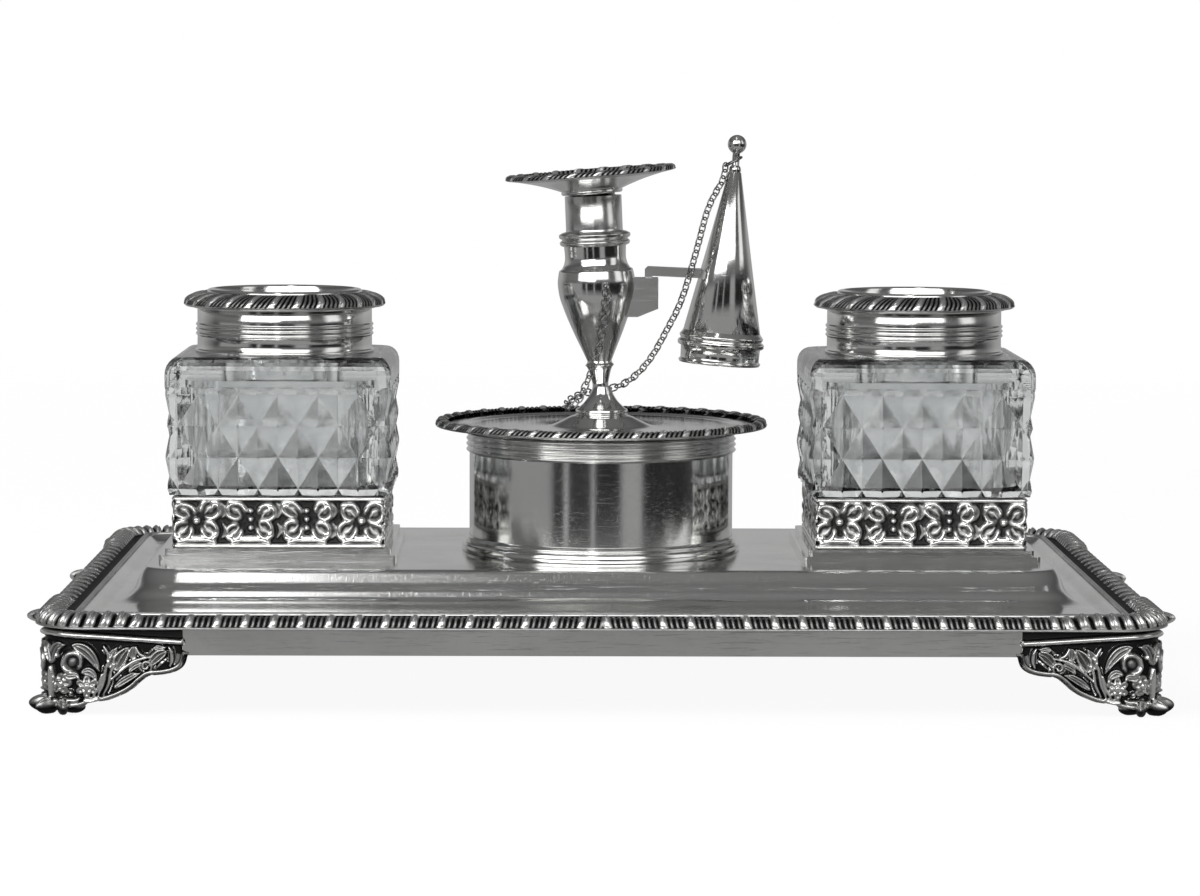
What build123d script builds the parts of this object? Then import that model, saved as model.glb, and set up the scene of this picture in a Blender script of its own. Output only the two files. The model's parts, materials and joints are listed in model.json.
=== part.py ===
"""Desk inkstand: a footed tray with two cut-glass bottles, a drum box and a taperstick.

Millimetres, +Z up, +X to the right and +Y to the back, origin on the table under the tray's
centre. Each sub-part has its own block or function and its own file in parts/.
"""

from build123d import *
import math
import os

# ---------------------------------------------------------------- driving dimensions

# Tray plan and levels
tray_x = 139.0  # half length over the gadroon border
tray_y = 97.0  # half depth over the gadroon border
tray_corner = 14.0
border_width = 11.0
border_inner_corner = 6.0
border_base_z = 20.9
border_crest_z = 24.3
sheet = 1.2
trough_z = 22.0
bead_z = 23.6
plateau_z = 29.8
plateau_x = 115.5
plateau_y = 50.0
plateau_corner = 9.0
flange_inset = 2.4  # how far the sheet stops inside the border's outer edge
apron_z = 14.4
apron_sheet = 1.2
apron_set_back = 0.6  # behind the face of the feet

# Corner ornaments, side shells and feet
corner_leg_x = 112.0  # where the straight gadroon stops and the corner ornament starts
corner_leg_y = 57.0
ear_x = 142.2
ear_y = 70.0
ear_half = 9.0
shell_radius = 7.0
shell_tip_x = 143.5
foot_x = 136.4
foot_y = 94.8
foot_arm = 34.4
foot_wall = 3.0
foot_corner = 9.0

# Bottle holders, bottles and caps
holder_x = 83.3
base_side = 61.6
base_step_side = 58.6
base_step_z = 31.3
band_z = 32.8
band_side = 54.6
band_wall = 1.4
band_top_z = 46.2
band_rim = 0.5
foot_glass_side = 50.8
cut_side = 58.4
cut_bottom_z = 46.6
cut_top_z = 74.6
diamond_width = 10.35
diamond_height = 16.4
lattice_z = 56.4  # level of the grooves' crossing on the middle of a face
groove_depth = 1.5
glass_top_side = 51.6
glass_top_z = 82.2
shoulder_start_z = 77.8
neck_radius = 21.2
neck_bore = 16.0
neck_top_z = 92.0
ink_side = 49.0
ink_floor_z = 48.4
ink_roof_z = 76.0
collar_radius = 23.0
collar_bore = 21.4
collar_top_z = 93.8
collar_reed_z = 86.4
collar_reed = 1.2
cap_radius = 26.6
cap_edge_z = 95.2
cap_ring_z = 98.6
cap_ring_radius = 20.4
cap_dish_radius = 18.6
cap_dish_z = 95.4
bezel_radius = 15.6
bezel_wall = 0.9
bezel_bottom_z = 86.0

# Drum box and its lid
drum_x = 0.5
drum_radius = 34.9
drum_wall = 1.2
drum_top_z = 61.6
drum_foot_radius = 36.9
drum_foot_z = 33.8
reed_z = 55.7
reed_depth = 0.9
lid_radius = 44.0
lid_edge_z = 62.6
lid_floor_z = 62.5
lid_boss_z = 65.4
lid_boss_radius = 7.4
lid_bezel_radius = 33.3
lid_bezel_z = 57.4

# Taperstick, on an axis that leans a little to the left
stick_x = 0.6
stick_lean = 2.45  # degrees
socket_height = 58.2
socket_radius = 7.5
socket_bore = 6.9
socket_depth = 13.2
nozzle_x = -2.15
nozzle_z = 124.0
nozzle_lean = 4.6  # degrees, the loose nozzle sits askew
nozzle_tube_radius = 6.0
nozzle_bore = 5.2
nozzle_depth = 11.0
pan_radius = 22.6
pan_height = 6.1

# Extinguisher, its hook and the socket that takes the hook
snuffer_x = 31.7
snuffer_z = 79.1
snuffer_lean = 4.3  # degrees
snuffer_height = 50.8
snuffer_skirt_radius = 10.6
snuffer_rim_radius = 11.4
snuffer_wall = 0.7
hook_top_z = 104.9
hook_thick = 2.5
hook_width = 3.2
tongue_x = 11.9
tongue_thick = 2.0
tongue_bottom_z = 94.4
socket_box_x = 15.4
socket_box_width = 6.4
socket_box_bottom_z = 91.6
socket_box_top_z = 101.9
hook_clearance = 0.25

# Fixings under the tray and under the lid
stud_radius = 2.0
stud_bottom_z = 24.2
nut_across = 8.0
nut_height = 3.0
nut_clearance = 0.05
hole_clearance = 0.2

# Chain
link_length = 2.9
link_width = 2.3
link_wire = 0.4
link_pitch = 1.8
link_twist = 45.0

os.makedirs("parts", exist_ok=True)


def save(piece, node):
    """Names a finished piece and writes its file."""
    piece.part.label = node
    export_step(piece.part, f"parts/{node}.step")


def mirrored(piece, *planes):
    """The same piece on the other side of each plane in turn."""
    with BuildPart() as copy:
        add(piece.part)
        for plane in planes:
            mirror(about=plane, mode=Mode.REPLACE)
    return copy


def moved(piece, shift_x):
    """The same piece further along X."""
    with BuildPart() as copy:
        with Locations((shift_x, 0, 0)):
            add(piece.part)
    return copy


def leaning_section(x, z, lean):
    """Section plane of an axis that leans in the XZ plane; local x is radius, local y height."""
    tilt = math.radians(lean)
    return Plane(origin=(x, 0, z), x_dir=(math.cos(tilt), 0, -math.sin(tilt)), z_dir=(0, -1, 0))


def axis_of(section):
    """The turning axis of such a section."""
    return Axis(section.origin, section.y_dir)


upright = Plane.XZ
drum_section = leaning_section(drum_x, 0, 0)
stick_section = leaning_section(stick_x, lid_boss_z, -stick_lean)
nozzle_section = leaning_section(nozzle_x, nozzle_z, -nozzle_lean)
snuffer_section = leaning_section(snuffer_x, snuffer_z, snuffer_lean)


# ---------------------------------------------------------------- tray

# Plan half-sizes and levels down the side of the plateau: how far out along the slope, 0 at
# the plateau's edge and 1 at the trough floor, and how high above the trough floor.
slope_steps = [
    (0.0, 7.8),
    (0.06, 7.5),
    (0.11, 6.7),
    (0.16, 5.3),
    (0.28, 3.1),
    (0.48, 1.3),
    (0.74, 0.3),
    (1.0, 0.0),
]
slope_x = 8.5
slope_y = 22.0


def make_plateau(drop, inset):
    """The raised middle of the tray, lowered by drop and drawn in by inset."""
    with BuildPart() as block:
        for out, rise in reversed(slope_steps):
            with BuildSketch(Plane.XY.offset(trough_z + rise - drop)):
                RectangleRounded(
                    2 * (plateau_x + slope_x * out - inset),
                    2 * (plateau_y + slope_y * out - inset),
                    plateau_corner + 6 * out - inset,
                )
        loft(ruled=True)
    return block


plateau = make_plateau(0, 0)
plateau_hollow = make_plateau(sheet, 0.9)

with BuildPart() as tray_plate:
    with BuildSketch(Plane.XY.offset(trough_z - sheet)):
        RectangleRounded(2 * (tray_x - flange_inset), 2 * (tray_y - flange_inset), tray_corner - flange_inset)
    extrude(amount=sheet)
    # Upstand that the border is soldered against, hollowed to a cove on the trough side
    with BuildSketch(Plane.XY.offset(trough_z)):
        RectangleRounded(2 * (tray_x - border_width), 2 * (tray_y - border_width), border_inner_corner)
    extrude(amount=bead_z - trough_z)
    for width_out, level in [(1.0, bead_z), (2.2, bead_z - 0.9), (4.2, trough_z)]:
        with BuildSketch(Plane.XY.offset(level)):
            RectangleRounded(
                2 * (tray_x - border_width - width_out),
                2 * (tray_y - border_width - width_out),
                border_inner_corner,
            )
    loft(ruled=True, mode=Mode.SUBTRACT)
    add(plateau.part)
    add(plateau_hollow.part, mode=Mode.SUBTRACT)
    with Locations((-holder_x, 0), (drum_x, 0), (holder_x, 0)):
        with Locations((0, 0, plateau_z - sheet / 2)):
            Cylinder(stud_radius + hole_clearance, 2 * sheet, mode=Mode.SUBTRACT)
save(tray_plate, "tray_plate")


# Gadroon border: section across it, x running inward to outward and 0 at the outer edge
with BuildSketch() as border_section:
    with BuildLine():
        Polyline(
            (-flange_inset, border_base_z),
            (-0.2, border_base_z),
            (0, border_base_z + 0.5),
        )
        ThreePointArc(
            (0, border_base_z + 0.5),
            (-2.4, border_crest_z - 0.7),
            (-5.6, border_crest_z),
        )
        ThreePointArc(
            (-5.6, border_crest_z),
            (-8.6, border_crest_z - 0.4),
            (-border_width, bead_z - 0.4),
        )
        Polyline(
            (-border_width, bead_z - 0.4),
            (-border_width, trough_z),
            (-flange_inset, trough_z),
            (-flange_inset, border_base_z),
        )
    make_face()


# The upstand of the tray stands inside the border, so the border starts at its outer face.
with BuildPart() as border_back:
    with BuildSketch(Plane(origin=(-corner_leg_x, tray_y, 0), x_dir=(0, 1, 0), z_dir=(1, 0, 0))):
        add(border_section.sketch)
    extrude(amount=2 * corner_leg_x)
save(border_back, "border_back")
save(mirrored(border_back, Plane.XZ), "border_front")

with BuildPart() as border_right:
    with BuildSketch(Plane(origin=(tray_x, corner_leg_y, 0), x_dir=(1, 0, 0), z_dir=(0, -1, 0))):
        add(border_section.sketch)
    extrude(amount=2 * corner_leg_y)
save(border_right, "border_right")
save(mirrored(border_right, Plane.YZ), "border_left")

# Corner ornament: two straight legs, a quarter turn and a pointed ear at the side
with BuildPart() as corner_back_right:
    with BuildSketch(Plane(origin=(corner_leg_x, tray_y, 0), x_dir=(0, 1, 0), z_dir=(1, 0, 0))):
        add(border_section.sketch)
    extrude(amount=tray_x - tray_corner - corner_leg_x)
    with BuildSketch(Plane(origin=(tray_x, tray_y - tray_corner, 0), x_dir=(1, 0, 0), z_dir=(0, -1, 0))):
        add(border_section.sketch)
    extrude(amount=tray_y - tray_corner - corner_leg_y)
    with BuildSketch(Plane(origin=(tray_x, tray_y - tray_corner, 0), x_dir=(1, 0, 0), z_dir=(0, -1, 0))):
        add(border_section.sketch)
    revolve(axis=Axis((tray_x - tray_corner, tray_y - tray_corner, 0), (0, 0, 1)), revolution_arc=90)
    with BuildSketch(Plane.XY.offset(border_base_z)):
        with BuildLine():
            Polyline(
                (tray_x - 2.2, ear_y - ear_half),
                (tray_x - 0.2, ear_y - ear_half),
                (ear_x, ear_y),
                (tray_x - 0.2, ear_y + ear_half),
                (tray_x - 2.2, ear_y + ear_half),
                close=True,
            )
        make_face()
    extrude(amount=1.2)
save(corner_back_right, "corner_back_right")
save(mirrored(corner_back_right, Plane.YZ), "corner_back_left")
save(mirrored(corner_back_right, Plane.XZ), "corner_front_right")
save(mirrored(corner_back_right, Plane.XZ, Plane.YZ), "corner_front_left")

# Small shell at the middle of each short side, fitted to the border
with BuildPart() as side_shell_right:
    with BuildSketch(Plane.XY.offset(border_base_z - 0.6)):
        with Locations((shell_tip_x - shell_radius, 0)):
            Circle(shell_radius)
        with Locations((shell_tip_x - shell_radius - 10, 0)):
            Rectangle(20, 4 * shell_radius, mode=Mode.SUBTRACT)
    extrude(amount=2.6, taper=18)
    add(border_right.part, mode=Mode.SUBTRACT)
    with Locations((tray_x - flange_inset - 5, 0, trough_z)):
        Box(10, 40, 20, mode=Mode.SUBTRACT)
save(side_shell_right, "side_shell_right")
save(mirrored(side_shell_right, Plane.YZ), "side_shell_left")

# Plain apron strips between the feet
apron_height = trough_z - sheet - apron_z
for node, side in [("apron_back", 1), ("apron_front", -1)]:
    with BuildPart(Plane.XY.offset(apron_z + apron_height / 2)) as apron:
        with Locations((0, side * (foot_y - apron_sheet / 2 - apron_set_back))):
            Box(2 * (foot_x - foot_arm), apron_sheet, apron_height)
    save(apron, node)
for node, side in [("apron_right", 1), ("apron_left", -1)]:
    with BuildPart(Plane.XY.offset(apron_z + apron_height / 2)) as apron:
        with Locations((side * (foot_x - apron_sheet / 2 - apron_set_back), 0)):
            Box(apron_sheet, 2 * (foot_y - foot_arm), apron_height)
    save(apron, node)


# ---------------------------------------------------------------- feet

foot_top_z = trough_z - sheet

# One arm of the bracket foot seen square on; x is measured inward from the corner
with BuildSketch() as foot_outline:
    with BuildLine():
        Line((0, 0), (4.4, 0))
        ThreePointArc((4.4, 0), (7.5, 2.2), (11.4, 3.3))
        ThreePointArc((11.4, 3.3), (18.0, 5.0), (21.5, 8.2))
        ThreePointArc((21.5, 8.2), (24.5, 10.5), (28.5, 10.7))
        ThreePointArc((28.5, 10.7), (32.4, 11.6), (foot_arm, 14.2))
        Polyline((foot_arm, 14.2), (foot_arm, foot_top_z), (0, foot_top_z), (0, 0))
    make_face()


with BuildPart() as foot_back_right:
    # Arm along the back, then the arm along the side, then the bracket's plan trims both
    with BuildSketch(Plane(origin=(foot_x, foot_y, 0), x_dir=(-1, 0, 0), z_dir=(0, 1, 0))):
        add(foot_outline.sketch)
    extrude(amount=-foot_corner)
    with BuildSketch(Plane(origin=(foot_x, foot_y, 0), x_dir=(0, -1, 0), z_dir=(-1, 0, 0))):
        add(foot_outline.sketch)
    extrude(amount=foot_corner)
    with BuildSketch():
        with Locations((foot_x - foot_arm, foot_y - foot_arm)):
            RectangleRounded(2 * foot_arm, 2 * foot_arm, foot_corner)
            RectangleRounded(
                2 * (foot_arm - foot_wall),
                2 * (foot_arm - foot_wall),
                foot_corner - foot_wall,
                mode=Mode.SUBTRACT,
            )
    extrude(amount=foot_top_z, mode=Mode.INTERSECT)
    # Rounded toe under the corner
    toe_plane = Plane(origin=(foot_x - 5.3, foot_y - 5.3, 0), x_dir=(1, 0, 0), z_dir=(0, -1, 0))
    with BuildSketch(toe_plane):
        with BuildLine():
            Line((0, 0), (4.6, 0))
            ThreePointArc((4.6, 0), (6.1, 2.6), (4.4, 5.6))
            Line((4.4, 5.6), (0, 5.6))
            Line((0, 5.6), (0, 0))
        make_face()
    revolve(axis=Axis(toe_plane.origin, (0, 0, 1)))
save(foot_back_right, "foot_back_right")
save(mirrored(foot_back_right, Plane.YZ), "foot_back_left")
save(mirrored(foot_back_right, Plane.XZ), "foot_front_right")
save(mirrored(foot_back_right, Plane.XZ, Plane.YZ), "foot_front_left")


# ---------------------------------------------------------------- fixings

with BuildPart() as fixing_studs:
    with Locations((-holder_x, 0, stud_bottom_z), (drum_x, 0, stud_bottom_z), (holder_x, 0, stud_bottom_z)):
        Cylinder(stud_radius, plateau_z - stud_bottom_z, align=(Align.CENTER, Align.CENTER, Align.MIN))
save(fixing_studs, "fixing_studs")

with BuildPart() as fixing_nuts:
    with BuildSketch(Plane.XY.offset(plateau_z - sheet - nut_height)):
        with Locations((-holder_x, 0), (drum_x, 0), (holder_x, 0)):
            RegularPolygon(nut_across / 2, 6, major_radius=False)
            Circle(stud_radius + nut_clearance, mode=Mode.SUBTRACT)
    extrude(amount=nut_height)
save(fixing_nuts, "fixing_nuts")


# ---------------------------------------------------------------- bottle holders

with BuildPart() as holder_base:
    with BuildSketch(Plane.XY.offset(plateau_z)):
        RectangleRounded(base_side, base_side, 1.0)
    extrude(amount=base_step_z - plateau_z)
    with BuildSketch(Plane.XY.offset(base_step_z)):
        RectangleRounded(base_step_side, base_step_side, 1.0)
    extrude(amount=band_z - base_step_z)

with BuildPart() as holder_band:
    with BuildSketch(Plane.XY.offset(band_z)):
        RectangleRounded(band_side, band_side, 1.6)
    extrude(amount=band_top_z - band_z)
    for level in (band_z, band_top_z - 1.2):
        with BuildSketch(Plane.XY.offset(level)):
            RectangleRounded(band_side + 2 * band_rim, band_side + 2 * band_rim, 1.6)
        extrude(amount=1.2)
    with BuildSketch(Plane.XY.offset(band_z)):
        RectangleRounded(band_side - 2 * band_wall, band_side - 2 * band_wall, 0.6)
    extrude(amount=band_top_z - band_z, mode=Mode.SUBTRACT)


# ---------------------------------------------------------------- bottle

# Cut zone: crossed V-grooves on the four faces leave a lattice of four-sided pyramids.
groove_slant = math.degrees(math.atan2(diamond_width, diamond_height))
groove_half = diamond_width / 2 * math.cos(math.radians(groove_slant)) - 0.3
groove_reach = 4  # grooves each way from the middle of a face
cutter_half = 1.4 * diamond_height

with BuildPart() as groove_cutter:
    with BuildSketch(Plane.XY.offset(-cutter_half)):
        Polygon((-groove_half, 0), (groove_half, 0), (0, groove_depth), align=None)
        with Locations((0, -1)):
            Rectangle(2 * groove_half, 2)
    extrude(amount=2 * cutter_half)

with BuildPart() as cut_zone:
    with BuildSketch(Plane.XY.offset(cut_bottom_z)):
        RectangleRounded(cut_side, cut_side, 1.5)
    extrude(amount=cut_top_z - cut_bottom_z)
    grooves = []
    for quarter in range(4):
        face_turn = Location((0, 0, 0), (0, 0, 90 * quarter))
        for slant in (groove_slant, -groove_slant):
            for step in range(-groove_reach, groove_reach + 1):
                place = Location((step * diamond_width, -cut_side / 2, lattice_z), (0, slant, 0))
                grooves.append(face_turn * place)
    with Locations(*grooves):
        add(groove_cutter.part, mode=Mode.SUBTRACT)

shoulder_steps = 6
shoulder_rise = glass_top_z - shoulder_start_z

with BuildPart() as bottle:
    with BuildSketch(Plane.XY.offset(band_z)):
        RectangleRounded(foot_glass_side, foot_glass_side, 3.0)
    extrude(amount=cut_bottom_z - band_z)
    add(cut_zone.part)
    # Smooth band above the cutting, then a shoulder that curves in to the collar
    with BuildSketch(Plane.XY.offset(cut_top_z)):
        RectangleRounded(cut_side, cut_side, 1.5)
    for step in range(shoulder_steps + 1):
        bend_angle = math.radians(90 * step / shoulder_steps)
        drawn_in = (cut_side - glass_top_side) * (1 - math.cos(bend_angle))
        with BuildSketch(Plane.XY.offset(shoulder_start_z + shoulder_rise * math.sin(bend_angle))):
            RectangleRounded(cut_side - drawn_in, cut_side - drawn_in, 1.5 + 0.5 * drawn_in)
    loft(ruled=True)
    with BuildSketch(Plane.XY.offset(glass_top_z)):
        Circle(neck_radius)
    extrude(amount=neck_top_z - glass_top_z)
    with BuildSketch(Plane.XY.offset(ink_floor_z)):
        RectangleRounded(ink_side, ink_side, 9.0)
    extrude(amount=ink_roof_z - ink_floor_z, mode=Mode.SUBTRACT)
    with BuildSketch(Plane.XY.offset(ink_roof_z)):
        Circle(neck_bore)
    extrude(amount=neck_top_z - ink_roof_z, mode=Mode.SUBTRACT)

with BuildPart() as collar:
    with BuildSketch(upright):
        with BuildLine():
            Polyline(
                (collar_bore, glass_top_z),
                (collar_radius + 0.6, glass_top_z),
                (collar_radius + 0.6, glass_top_z + 0.8),
                (collar_radius, glass_top_z + 1.0),
                (collar_radius, collar_reed_z),
            )
            for reed in range(3):
                low = collar_reed_z + collar_reed * reed
                ThreePointArc(
                    (collar_radius, low),
                    (collar_radius + 0.45, low + collar_reed / 2),
                    (collar_radius, low + collar_reed),
                )
            Polyline(
                (collar_radius, collar_reed_z + 3 * collar_reed),
                (collar_radius, collar_top_z),
                (collar_bore, collar_top_z),
                (collar_bore, glass_top_z),
            )
        make_face()
    revolve(axis=Axis.Z)

# Cap: dished plate with a raised ring, a sloping gadroon rim and a plug tube below
with BuildPart() as cap_plate:
    with BuildSketch(upright):
        with BuildLine():
            Polyline(
                (0, collar_top_z),
                (cap_radius - 2.6, collar_top_z),
                (cap_radius - 2.6, collar_top_z + 0.6),
                (cap_ring_radius, cap_ring_z - 1.6),
                (cap_ring_radius, cap_ring_z),
                (cap_dish_radius, cap_ring_z),
                (cap_dish_radius - 0.6, cap_dish_z + 1.0),
                (cap_dish_radius - 3.0, cap_dish_z),
                (0, cap_dish_z - 0.4),
                close=True,
            )
        make_face()
    revolve(axis=Axis.Z)

with BuildPart() as cap_rim:
    with BuildSketch(upright):
        with BuildLine():
            Polyline(
                (cap_radius - 2.6, collar_top_z + 0.2),
                (cap_radius - 0.6, collar_top_z + 0.5),
                (cap_radius, cap_edge_z),
            )
            ThreePointArc(
                (cap_radius, cap_edge_z),
                (cap_radius - 2.2, cap_edge_z + 2.2),
                (cap_ring_radius, cap_ring_z - 0.6),
            )
            Polyline(
                (cap_ring_radius, cap_ring_z - 0.6),
                (cap_ring_radius, cap_ring_z - 1.6),
                (cap_radius - 2.6, collar_top_z + 0.6),
                (cap_radius - 2.6, collar_top_z + 0.2),
            )
        make_face()
    revolve(axis=Axis.Z)

with BuildPart() as cap_bezel:
    with BuildSketch(Plane.XY.offset(bezel_bottom_z)):
        Circle(bezel_radius)
        Circle(bezel_radius - bezel_wall, mode=Mode.SUBTRACT)
    extrude(amount=collar_top_z - bezel_bottom_z)

for hand, side in [("left", -1), ("right", 1)]:
    shift = side * holder_x
    save(moved(holder_base, shift), f"{hand}_holder_base")
    save(moved(holder_band, shift), f"{hand}_holder_band")
    save(moved(bottle, shift), f"{hand}_bottle")
    save(moved(collar, shift), f"{hand}_collar")
    save(moved(cap_plate, shift), f"{hand}_cap")
    save(moved(cap_rim, shift), f"{hand}_cap_rim")
    save(moved(cap_bezel, shift), f"{hand}_cap_bezel")


# ---------------------------------------------------------------- drum box

with BuildPart() as drum_wall_part:
    with BuildSketch(Plane.XY.offset(plateau_z)):
        with Locations((drum_x, 0)):
            Circle(drum_radius)
            Circle(drum_radius - drum_wall, mode=Mode.SUBTRACT)
    extrude(amount=drum_top_z - plateau_z)
save(drum_wall_part, "drum_wall")

with BuildPart() as drum_floor:
    with BuildSketch(Plane.XY.offset(plateau_z)):
        with Locations((drum_x, 0)):
            Circle(drum_radius - drum_wall)
    extrude(amount=sheet)
save(drum_floor, "drum_floor")

with BuildPart() as drum_foot:
    with BuildSketch(drum_section):
        with BuildLine():
            Polyline(
                (drum_radius, plateau_z),
                (drum_foot_radius, plateau_z),
                (drum_foot_radius, plateau_z + 1.5),
            )
            ThreePointArc(
                (drum_foot_radius, plateau_z + 1.5),
                (drum_foot_radius - 0.4, plateau_z + 2.4),
                (drum_foot_radius - 1.0, plateau_z + 2.7),
            )
            Polyline(
                (drum_foot_radius - 1.0, plateau_z + 2.7),
                (drum_foot_radius - 1.4, drum_foot_z),
                (drum_radius, drum_foot_z),
                (drum_radius, plateau_z),
            )
        make_face()
    revolve(axis=axis_of(drum_section))
save(drum_foot, "drum_foot_moulding")

reed_height = (drum_top_z - reed_z) / 4
with BuildPart() as drum_reeds:
    with BuildSketch(drum_section):
        with BuildLine():
            for reed in range(4):
                low = reed_z + reed_height * reed
                ThreePointArc(
                    (drum_radius + 0.2, low),
                    (drum_radius + reed_depth, low + reed_height / 2),
                    (drum_radius + 0.2, low + reed_height),
                )
            Polyline(
                (drum_radius + 0.2, drum_top_z),
                (drum_radius, drum_top_z),
                (drum_radius, reed_z),
                (drum_radius + 0.2, reed_z),
            )
        make_face()
    revolve(axis=axis_of(drum_section))
save(drum_reeds, "drum_top_reeds")


# ---------------------------------------------------------------- lid

stick_stud_radius = 1.8
with BuildPart() as lid_plate:
    with BuildSketch(drum_section):
        with BuildLine():
            Polyline(
                (stick_stud_radius + hole_clearance, lid_boss_z - 0.9),
                (lid_boss_radius - 0.6, lid_boss_z - 0.9),
                (14.0, drum_top_z),
                (36.4, drum_top_z),
                (lid_radius - 0.8, lid_edge_z),
                (lid_radius - 0.8, lid_edge_z + 0.8),
                (lid_radius - 3.4, lid_edge_z + 0.7),
                (34.0, lid_floor_z),
                (14.6, lid_floor_z),
                (lid_boss_radius, lid_boss_z),
                (stick_stud_radius + hole_clearance, lid_boss_z),
                close=True,
            )
        make_face()
    revolve(axis=axis_of(drum_section))
save(lid_plate, "lid_plate")

with BuildPart() as lid_rim:
    with BuildSketch(drum_section):
        with BuildLine():
            Polyline(
                (lid_radius - 0.8, lid_edge_z + 0.8),
                (lid_radius - 0.8, lid_edge_z),
                (lid_radius - 0.2, lid_edge_z),
                (lid_radius, lid_edge_z + 0.5),
            )
            ThreePointArc(
                (lid_radius, lid_edge_z + 0.5),
                (lid_radius - 1.4, lid_edge_z + 2.2),
                (lid_radius - 3.4, lid_edge_z + 1.4),
            )
            Polyline(
                (lid_radius - 3.4, lid_edge_z + 1.4),
                (lid_radius - 3.4, lid_edge_z + 0.7),
                (lid_radius - 0.8, lid_edge_z + 0.8),
            )
        make_face()
    revolve(axis=axis_of(drum_section))
save(lid_rim, "lid_rim")

with BuildPart() as lid_bezel:
    with BuildSketch(Plane.XY.offset(lid_bezel_z)):
        with Locations((drum_x, 0)):
            Circle(lid_bezel_radius)
            Circle(lid_bezel_radius - 1.0, mode=Mode.SUBTRACT)
    extrude(amount=drum_top_z - lid_bezel_z)
save(lid_bezel, "lid_bezel")


# ---------------------------------------------------------------- taperstick


def turned(section, start, *runs):
    """A solid turned about the section's axis. Each run is a list of points, or an arc when
    it is a tuple of a middle point and an end point."""
    with BuildPart() as piece:
        with BuildSketch(section):
            with BuildLine():
                here = start
                for run in runs:
                    if isinstance(run, tuple):
                        ThreePointArc(here, run[0], run[1])
                        here = run[1]
                    else:
                        Polyline(here, *run)
                        here = run[-1]
                Line(here, start)
            make_face()
        revolve(axis=axis_of(section))
    return piece


# The foot's flat base sits on the lid's boss, so it is turned on an upright axis.
foot_section = leaning_section(stick_x, 0, 0)
foot_neck_height = 7.6
stick_foot = turned(
    foot_section,
    (0, lid_boss_z),
    [(6.9, lid_boss_z), (6.9, lid_boss_z + 1.2)],
    ((6.7, lid_boss_z + 1.6), (6.2, lid_boss_z + 1.8)),
    ((3.4, lid_boss_z + 4.3), (2.15, lid_boss_z + foot_neck_height)),
    [(0, lid_boss_z + foot_neck_height)],
)

knop_height = 13.4
vase_height = 14.4
stick_stem = turned(
    stick_section,
    (0, foot_neck_height - 0.4),
    [(2.1, foot_neck_height - 0.4), (2.2, 9.0)],
    ((2.6, 11.3), (3.3, 12.8)),
    ((3.85, knop_height), (3.3, 14.0)),
    [(3.3, vase_height), (0, vase_height)],
)
with BuildPart() as stick_foot_trimmed:
    add(stick_foot.part)
    add(stick_stem.part, mode=Mode.SUBTRACT)
save(stick_foot_trimmed, "stick_foot")
save(stick_stem, "stick_stem")

socket_floor = socket_height - socket_depth
stick_vase = turned(
    stick_section,
    (0, vase_height),
    [(3.2, vase_height)],
    ((6.6, 22.6), (9.4, 30.0)),
    ((10.25, 34.4), (9.75, 38.2)),
    [(9.75, 38.7), (9.2, 38.9)],
    ((8.3, 40.4), (8.1, 42.4)),
    [(8.1, socket_floor), (0, socket_floor)],
)

stick_socket = turned(
    stick_section,
    (0, socket_floor),
    [(8.6, socket_floor)],
    ((9.3, socket_floor + 0.8), (8.7, socket_floor + 1.6)),
    ((9.5, socket_floor + 2.5), (8.7, socket_floor + 3.4)),
    [
        (socket_radius, socket_floor + 3.7),
        (socket_radius, socket_height),
        (socket_bore, socket_height),
        (socket_bore, socket_floor + 1.0),
        (0, socket_floor + 1.0),
    ],
)
save(stick_socket, "stick_socket")

with BuildPart() as stick_stud:
    with Locations((stick_x, 0, drum_top_z - 0.6)):
        Cylinder(
            stick_stud_radius,
            lid_boss_z - drum_top_z + 0.6,
            align=(Align.CENTER, Align.CENTER, Align.MIN),
        )
save(stick_stud, "stick_stud")

with BuildPart() as stick_nut:
    with BuildSketch(Plane.XY.offset(lid_boss_z - 0.9 - 2.4)):
        with Locations((stick_x, 0)):
            RegularPolygon(3.6, 6, major_radius=False)
            Circle(stick_stud_radius + nut_clearance, mode=Mode.SUBTRACT)
    extrude(amount=2.4)
save(stick_nut, "stick_nut")

# Box socket on the right of the vase, open above, for the extinguisher's hook
with BuildPart() as hook_socket:
    with BuildSketch(Plane.XZ.offset(-socket_box_width / 2)):
        with BuildLine():
            Polyline(
                (4.0, socket_box_bottom_z),
                (10.0, socket_box_bottom_z),
                (socket_box_x, socket_box_bottom_z + 2.2),
                (socket_box_x, socket_box_top_z),
                (4.0, socket_box_top_z),
                close=True,
            )
        make_face()
    extrude(amount=socket_box_width)
    with Locations((tongue_x + tongue_thick / 2, 0, tongue_bottom_z)):
        Box(
            tongue_thick + 2 * hook_clearance,
            hook_width + 2 * hook_clearance,
            20,
            align=(Align.CENTER, Align.CENTER, Align.MIN),
            mode=Mode.SUBTRACT,
        )
    add(stick_vase.part, mode=Mode.SUBTRACT)
save(hook_socket, "hook_socket")

# Eye for the chain on the front of the vase
eye_x = 2.0
eye_z = 99.6
eye_ring = 1.25
eye_wire = 0.3
with BuildPart() as chain_eye:
    with Locations(Location((eye_x, -11.4, eye_z), (0, 90, 0))):
        Torus(eye_ring, eye_wire)
    with Locations(Location((eye_x, -9.2, eye_z), (90, 0, 0))):
        Cylinder(0.7, 2.6)
    add(stick_vase.part, mode=Mode.SUBTRACT)
save(chain_eye, "chain_eye")
save(stick_vase, "stick_vase")


# ---------------------------------------------------------------- nozzle

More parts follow.
